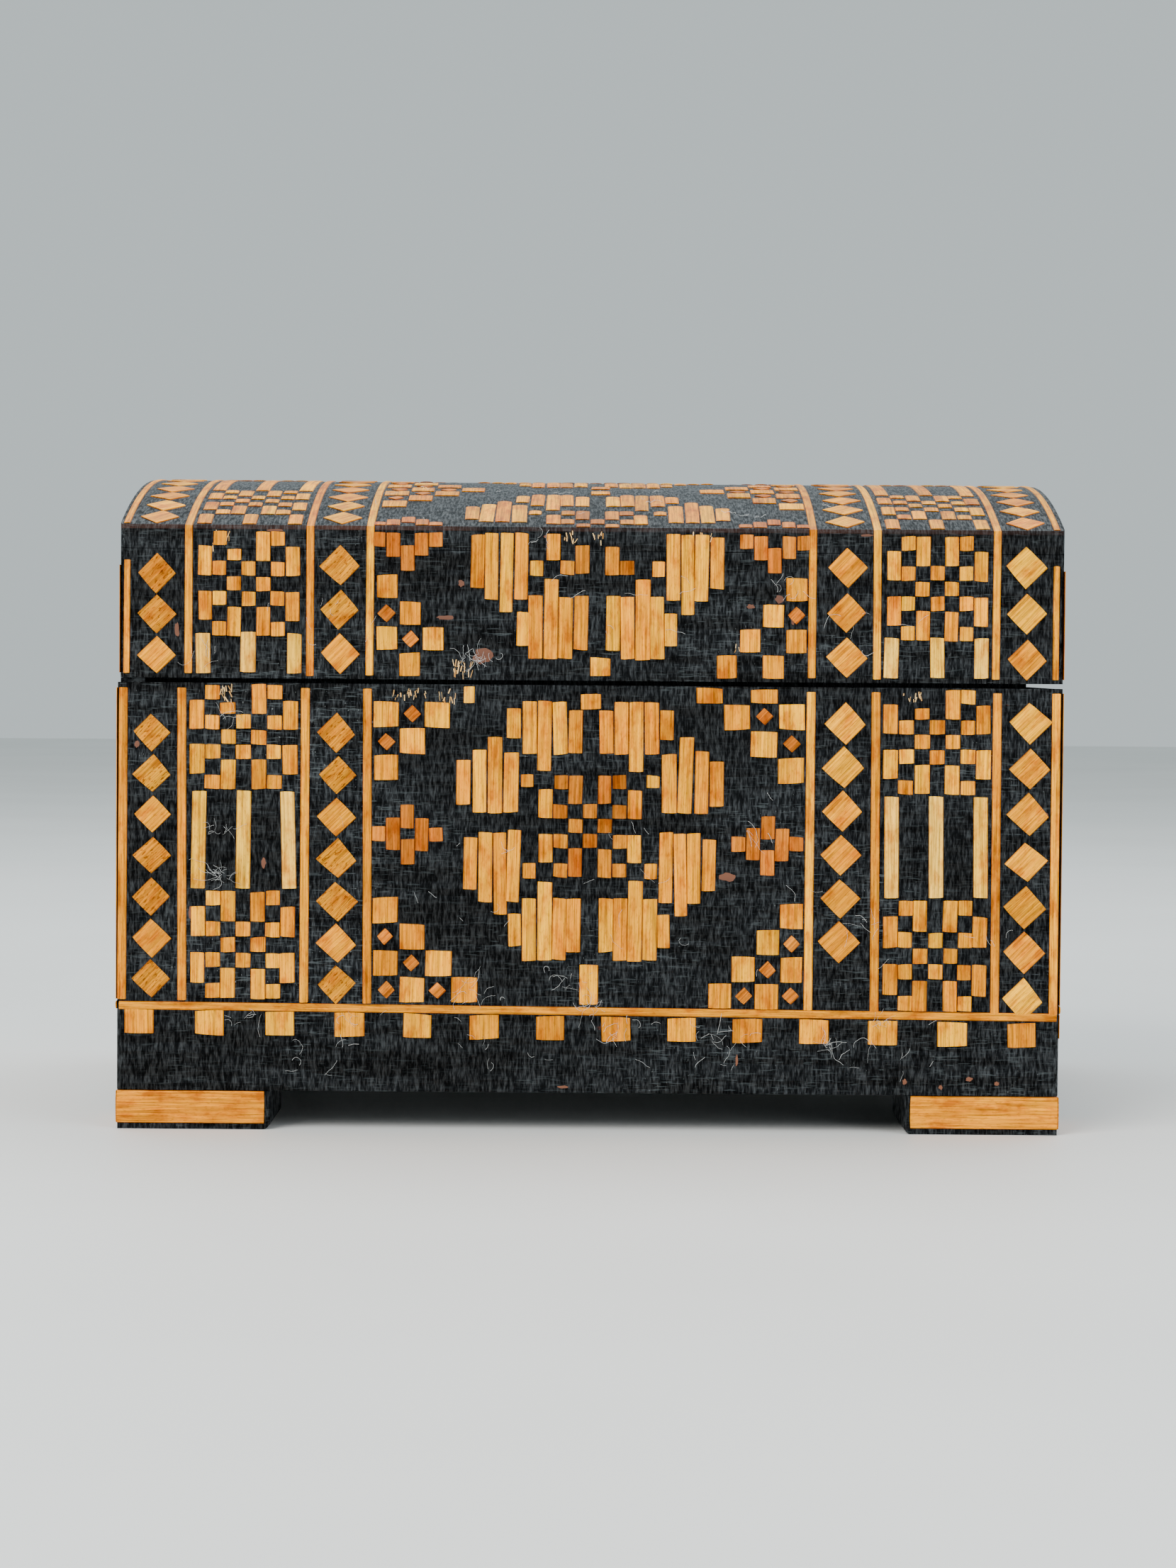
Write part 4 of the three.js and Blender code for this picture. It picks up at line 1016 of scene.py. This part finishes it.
def chips(name, place, spots, body, seed):
    """Flat ragged spots, each (u, v, half width, half height), where the stain has chipped off."""
    rng = random.Random(seed)
    points, faces = [], []
    for u, v, half_u, half_v in spots:
        first = len(points)
        points.append(place(u, v, 0.05))
        for side in range(CHIP_SIDES):
            angle = 2 * math.pi * side / CHIP_SIDES
            reach = rng.uniform(0.7, 1.1)
            across, up = half_u * reach * math.cos(angle), half_v * reach * math.sin(angle)
            points.append(place(u + across, v + up, 0.02))
        for side in range(CHIP_SIDES):
            faces.append((first, first + 1 + side, first + 1 + (side + 1) % CHIP_SIDES))
    free_mesh(name, points, faces, "worn_wood", body)


def lint(name, place, tufts, body, seed):
    """Fine curling fibres: each tuft is (u, v, spread, count)."""
    rng = random.Random(seed)
    points, faces = [], []
    for u, v, spread, count in tufts:
        for _ in range(count):
            angle = rng.uniform(0, 2 * math.pi)
            curl = rng.gauss(0, 0.16)
            thick = rng.uniform(0.012, 0.028)
            a, b = u + spread * rng.triangular(-2, 2), v + 0.42 * spread * rng.triangular(-2, 2)
            step = rng.uniform(0.2, 0.45)
            first = len(points)
            links = rng.randint(5, 12)
            for link in range(links):
                lift = 0.32 + 0.15 * math.sin(link * 1.3)
                across = (-math.sin(angle) * thick, math.cos(angle) * thick)
                points.append(place(a + across[0], b + across[1], lift))
                points.append(place(a - across[0], b - across[1], lift))
                points.append(place(a, b, lift + 2 * thick))
                a += step * math.cos(angle)
                b += step * math.sin(angle)
                angle += curl + rng.gauss(0, 0.2)
            for link in range(links - 1):
                for side in range(3):
                    low = first + 3 * link + side
                    near = first + 3 * link + (side + 1) % 3
                    faces.append((low, near, near + 3, low + 3))
    free_mesh(name, points, faces, "lint", body)


# A dark strip in the seam under the closed lid, standing in for the shade there: painted shade.
SEAM_SHADE_LENGTH = 46.0
SEAM_SHADE_WIDTH = 4.6
SEAM_SHADE_HEIGHT = 0.87
SEAM_SHADE_INSET = 0.6
SEAM_SHADE_BACK = 0.7


def seam_shade_strip():
    """A dark strip on the left rim, in the seam under the closed lid: painted shade that keeps light from
    showing through the seam.
    """
    x0 = -HALF_WIDTH + SEAM_SHADE_INSET
    y0 = FRONT_Y + SEAM_SHADE_BACK
    z0 = BASE_Z + BASE_HEIGHT
    points = [(x0 + SEAM_SHADE_WIDTH * i, y0 + SEAM_SHADE_LENGTH * j, z0 + SEAM_SHADE_HEIGHT * k)
              for i in (0, 1) for j in (0, 1) for k in (0, 1)]
    faces = [(0, 1, 3, 2), (4, 6, 7, 5), (0, 4, 5, 1), (2, 3, 7, 6), (0, 2, 6, 4), (1, 5, 7, 3)]
    free_mesh("seam_shade_strip", points, faces, "side_wood", "case")


def wear():
    """The worn spots and tufts of lint, placed from the middle of each face."""
    low = -CREASE_HEIGHT
    lid_spots = (
        (-20.7, low + 4.5, 2.1, 1.5), (-24.9, low + 18.3, 0.6, 0.8), (-27.8, low + 11.8, 1.9, 0.4),
        (35.6, low + 15.8, 1, 0.9), (30.1, low + 14.3, 0.8, 0.5), (38.2, low + 12, 0.5, 1.1),
        (-78.9, low + 9, 0.5, 1.5), (24.6, low + 19.5, 0.5, 0.4), (-8.6, -1.6, 0.9, 0.3),
        (52, -0.9, 1.4, 0.25), (-60.2, -0.8, 1.8, 0.25),
    )
    base_spots = (
        (86.2, 53.6, 1.2, 1), (26.4, 41.5, 1.7, 0.9), (-75.9, 34, 0.4, 1.2), (72.9, 3.2, 0.7, 0.5),
        (60.6, 2.6, 0.5, 0.6), (78.2, 2.4, 0.5, 0.4), (28.5, 6.4, 0.25, 1.3), (-4.6, 1.1, 1.2, 0.3),
        (-62, 43.5, 0.5, 1), (67.5, 1.6, 0.4, 0.5), (-86.2, 66, 0.5, 0.8),
    )
    chips("chips_lid", lid_skin, lid_spots, "lid", 5)
    chips("chips_front", front_face, base_spots, "case", 6)
    front_tufts = (
        (-70.2, 41.5, 1.8, 22), (-69.8, 50, 1.3, 10), (-70, 72, 1.8, 8), (-22, 19, 4, 14),
        (-4, 21.5, 3, 10), (5, 12, 2.6, 12), (0.5, 16.5, 0.9, 14), (26, 11, 4, 12),
        (46, 9.5, 1.2, 14), (56, 14, 1.4, 10), (-43, 13.5, 2.4, 6), (30, 50.5, 2.2, 6),
        (52.5, 33, 2, 9), (-64, 12, 5, 6), (76, 30, 2.4, 4), (0, 38, 38, 26),
        (-55, 8, 7, 9), (-18, 8, 8, 9), (20, 8, 8, 9), (60, 8, 7, 9),
    )
    lid_tufts = (
        (-22, low + 4, 2.2, 24), (-73, low + 4.5, 2.4, 6), (36, low + 17, 3, 7), (30, 8, 2.4, 5),
        (-8.8, -2.5, 1.8, 5), (-55, low + 13, 12, 8), (5, low + 13, 12, 8), (60, low + 13, 10, 6),
        (0, 24, 28, 14),
    )
    lint("lint_front", front_face, front_tufts, "case", 7)
    lint("lint_lid", lid_skin, lid_tufts, "lid", 8)


# ---- Velvet pads and cylinder pins ----
PAD_STEPS = 40
PAD_THICKNESS = 1.9
PAD_CLEARANCE = 0.05
BUTTON_REACH = 5.5
BUTTON_DEPTH = 0.62


def pad(name, body, place, width, depth, buttons=()):
    """A closed cushion, puffed and rounded at its edges; `place` maps (a, b, height) to a point."""
    rng = random.Random(name)
    points, faces = [], []
    for layer in (0, 1):
        for i in range(PAD_STEPS + 1):
            for j in range(PAD_STEPS + 1):
                a, b = i / PAD_STEPS, j / PAD_STEPS
                edge = min(a * width, (1 - a) * width, b * depth, (1 - b) * depth)
                round_off = math.sqrt(max(0.0, 1 - max(0.0, 1 - edge / PAD_THICKNESS) ** 2))
                puff = math.sin(math.pi * a) * math.sin(math.pi * b)
                swell = 0.72 + 0.24 * puff + rng.uniform(-0.01, 0.01)
                for x, y in buttons:
                    far = math.hypot((a - x) * width, (b - y) * depth)
                    swell -= BUTTON_DEPTH * math.exp(-(far / BUTTON_REACH) ** 2)
                height = PAD_THICKNESS * swell * round_off if layer else 0.0
                points.append(place(a * width, b * depth, height))
    row = PAD_STEPS + 1
    for layer in (0, 1):
        base = layer * row * row
        for i in range(PAD_STEPS):
            for j in range(PAD_STEPS):
                low = base + i * row + j
                faces.append((low, low + row, low + row + 1, low + 1))
    rim = [i * row for i in range(row)]
    rim += [PAD_STEPS * row + j for j in range(1, row)]
    rim += [i * row + PAD_STEPS for i in reversed(range(PAD_STEPS))]
    rim += [j for j in reversed(range(1, PAD_STEPS))]
    for here, after in zip(rim, rim[1:] + rim[:1]):
        faces.append((here, after, after + row * row, here + row * row))
    return free_mesh(name, points, faces, "velvet", body, smooth=True)


def flat(origin, across, up, out, side):
    """A map from (a, b, height) to a point, along three axes from a corner of the tray."""

    def place(a, b, height):
        point = list(origin)
        point[across] += a
        point[up] += b
        point[out] += side * (PAD_CLEARANCE + height)
        return point

    return place


def pads():
    """The padded velvet of the tray and of the lid, each in the space of its CAD lining."""
    low, high = corners("jewel_lining")
    wide, deep, tall = high.x - low.x, high.y - low.y, high.z - low.z
    buttons = [(0.25 * i, 0.25 * j) for i in (1, 2, 3) for j in (1, 2, 3)]
    right, back = (high.x, low.y, low.z), (low.x, high.y, low.z)
    tray = [
        pad("pad_floor", "case", flat(low, X_AXIS, Y_AXIS, Z_AXIS, 1), wide, deep, buttons),
        pad("pad_left", "case", flat(low, Y_AXIS, Z_AXIS, X_AXIS, 1), deep, tall),
        pad("pad_right", "case", flat(right, Y_AXIS, Z_AXIS, X_AXIS, -1), deep, tall),
        pad("pad_front", "case", flat(low, X_AXIS, Z_AXIS, Y_AXIS, 1), wide, tall),
        pad("pad_back", "case", flat(back, X_AXIS, Z_AXIS, Y_AXIS, -1), wide, tall),
    ]
    for piece in tray:
        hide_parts("jewel_lining")
    start, end = corners("lid_lining")
    radius = ARCH_RADIUS - (LID_HIGH.z - end.z) - PAD_CLEARANCE
    half_angle = math.asin((end.y - start.y) / 2 / radius)

    def under_lid(a, b, height):
        angle = b / radius - half_angle
        reach = radius - height
        return (start.x + a, MIDDLE_Y + reach * math.sin(angle), ARCH_CENTRE + reach * math.cos(angle))

    quilt = [(0.125 * i, 0.25 * j) for i in range(1, 8) for j in (1, 2, 3)]
    arc = 2 * half_angle * radius
    lining = pad("pad_lid", "lid", under_lid, end.x - start.x, arc, quilt)
    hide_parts("lid_lining")


PIN_ROWS = 18
PINS_PER_ROW = 9
PIN_LENGTH = 0.55
PIN_HALF_WIDTH = 0.16
PIN_ROOT = 0.15
PIN_TAPER = 0.7
PIN_CORNERS = ((1, 1), (-1, 1), (-1, -1), (1, -1))


def cylinder_pins():
    """Small tapered pins at random round the cylinder."""
    low, high = corners("cylinder")
    middle_y, middle_z = (low.y + high.y) / 2, (low.z + high.z) / 2
    radius = (high.z - low.z) / 2
    rng = random.Random(3)
    points, faces = [], []
    for row in range(PIN_ROWS):
        x = low.x + (high.x - low.x) * (row + 0.5) / PIN_ROWS
        for _ in range(PINS_PER_ROW):
            angle = rng.uniform(0, 2 * math.pi)
            out = Vector((0, math.cos(angle), math.sin(angle)))
            side = Vector((0, -math.sin(angle), math.cos(angle))) * PIN_HALF_WIDTH
            along = Vector((PIN_HALF_WIDTH, 0, 0))
            root = Vector((x, middle_y, middle_z)) + out * (radius - PIN_ROOT)
            tip = root + out * (PIN_LENGTH + PIN_ROOT)
            first = len(points)
            for centre, size in ((root, 1.0), (tip, PIN_TAPER)):
                points.extend(centre + (side * p + along * q) * size for p, q in PIN_CORNERS)
            for k in range(4):
                faces.append((first + k, first + (k + 1) % 4, first + 4 + (k + 1) % 4, first + 4 + k))
            faces.append(tuple(first + 4 + k for k in range(4)))
    free_mesh("cylinder_pins", points, faces, "steel", "cylinder")


# ---- Stage, light and camera ----
FLOOR_REACH = 3.0


def stage():
    mesh = bpy.data.meshes.new("floor")
    far = FLOOR_REACH
    mesh.from_pydata([(-far, -far, 0), (far, -far, 0), (far, far, 0), (-far, far, 0)], [], [(0, 1, 2, 3)])
    floor = bpy.data.objects.new("floor", mesh)
    bpy.context.scene.collection.objects.link(floor)
    look = Look("floor")
    cloud = look.noise(look.place(), 6.0)
    colour = look.ramp(cloud, (0.3, (0.70, 0.71, 0.70)), (0.7, (0.75, 0.76, 0.75)))
    look.surface(Base_Color=colour, Roughness=0.55)
    floor.data.materials.append(look.material)
    world = bpy.data.worlds.new("studio")
    world.use_nodes = True
    background = world.node_tree.nodes["Background"]
    background.inputs["Color"].default_value = (0.80, 0.90, 0.92, 1)
    background.inputs["Strength"].default_value = 0.75
    bpy.context.scene.world = world


def soft_light(name, place, aim, size, power, colour):
    data = bpy.data.lights.new(name, "AREA")
    data.shape = "RECTANGLE"
    data.size, data.size_y = size
    data.energy = power
    data.color = colour
    light = bpy.data.objects.new(name, data)
    light.location = place
    light.rotation_euler = (Vector(aim) - Vector(place)).to_track_quat("-Z", "Y").to_euler()
    bpy.context.scene.collection.objects.link(light)


CAMERA_DISTANCE = 638
CAMERA_HEIGHT = 89.95
CAMERA_SIDE = -0.3
CAMERA_PITCH = math.radians(-2.1)
CAMERA_ROLL = math.radians(0.44)
LENS = 77
SENSOR = 36


def camera():
    data = bpy.data.cameras.new("camera")
    data.lens = LENS
    data.sensor_width = SENSOR
    data.sensor_fit = "AUTO"
    data.clip_start = 0.01
    obj = bpy.data.objects.new("camera", data)
    bpy.context.scene.collection.objects.link(obj)
    turn = Matrix.Rotation(math.pi / 2 + CAMERA_PITCH, 4, "X") @ Matrix.Rotation(CAMERA_ROLL, 4, "Z")
    place = Vector((CAMERA_SIDE, FRONT_Y - CAMERA_DISTANCE, CAMERA_HEIGHT)) * MM
    obj.matrix_world = Matrix.Translation(place) @ turn
    bpy.context.scene.camera = obj


camera()
stage()
soft_light("key", (-0.7, -0.9, 0.9), (0, 0, 0.06), (0.9, 0.9), 24, (1.0, 0.97, 0.92))
soft_light("fill", (0.9, -0.8, 0.5), (0, 0, 0.06), (0.9, 0.9), 9, (0.97, 0.98, 1.0))
soft_light("top", (0.0, 0.35, 1.1), (0, 0, 0.1), (1.2, 0.8), 12, (0.9, 0.96, 1.0))
finish_cad_nodes()
front_straw()
side_straw("straw_left", left_face, 21)
side_straw("straw_right", right_face, 22)
back_straw()
lid_straw()
lid_end_straw("straw_lid_left", lid_left_face, 51)
lid_end_straw("straw_lid_right", lid_right_face, 52)
feet_straw()
wear()
seam_shade_strip()
pads()
cylinder_pins()
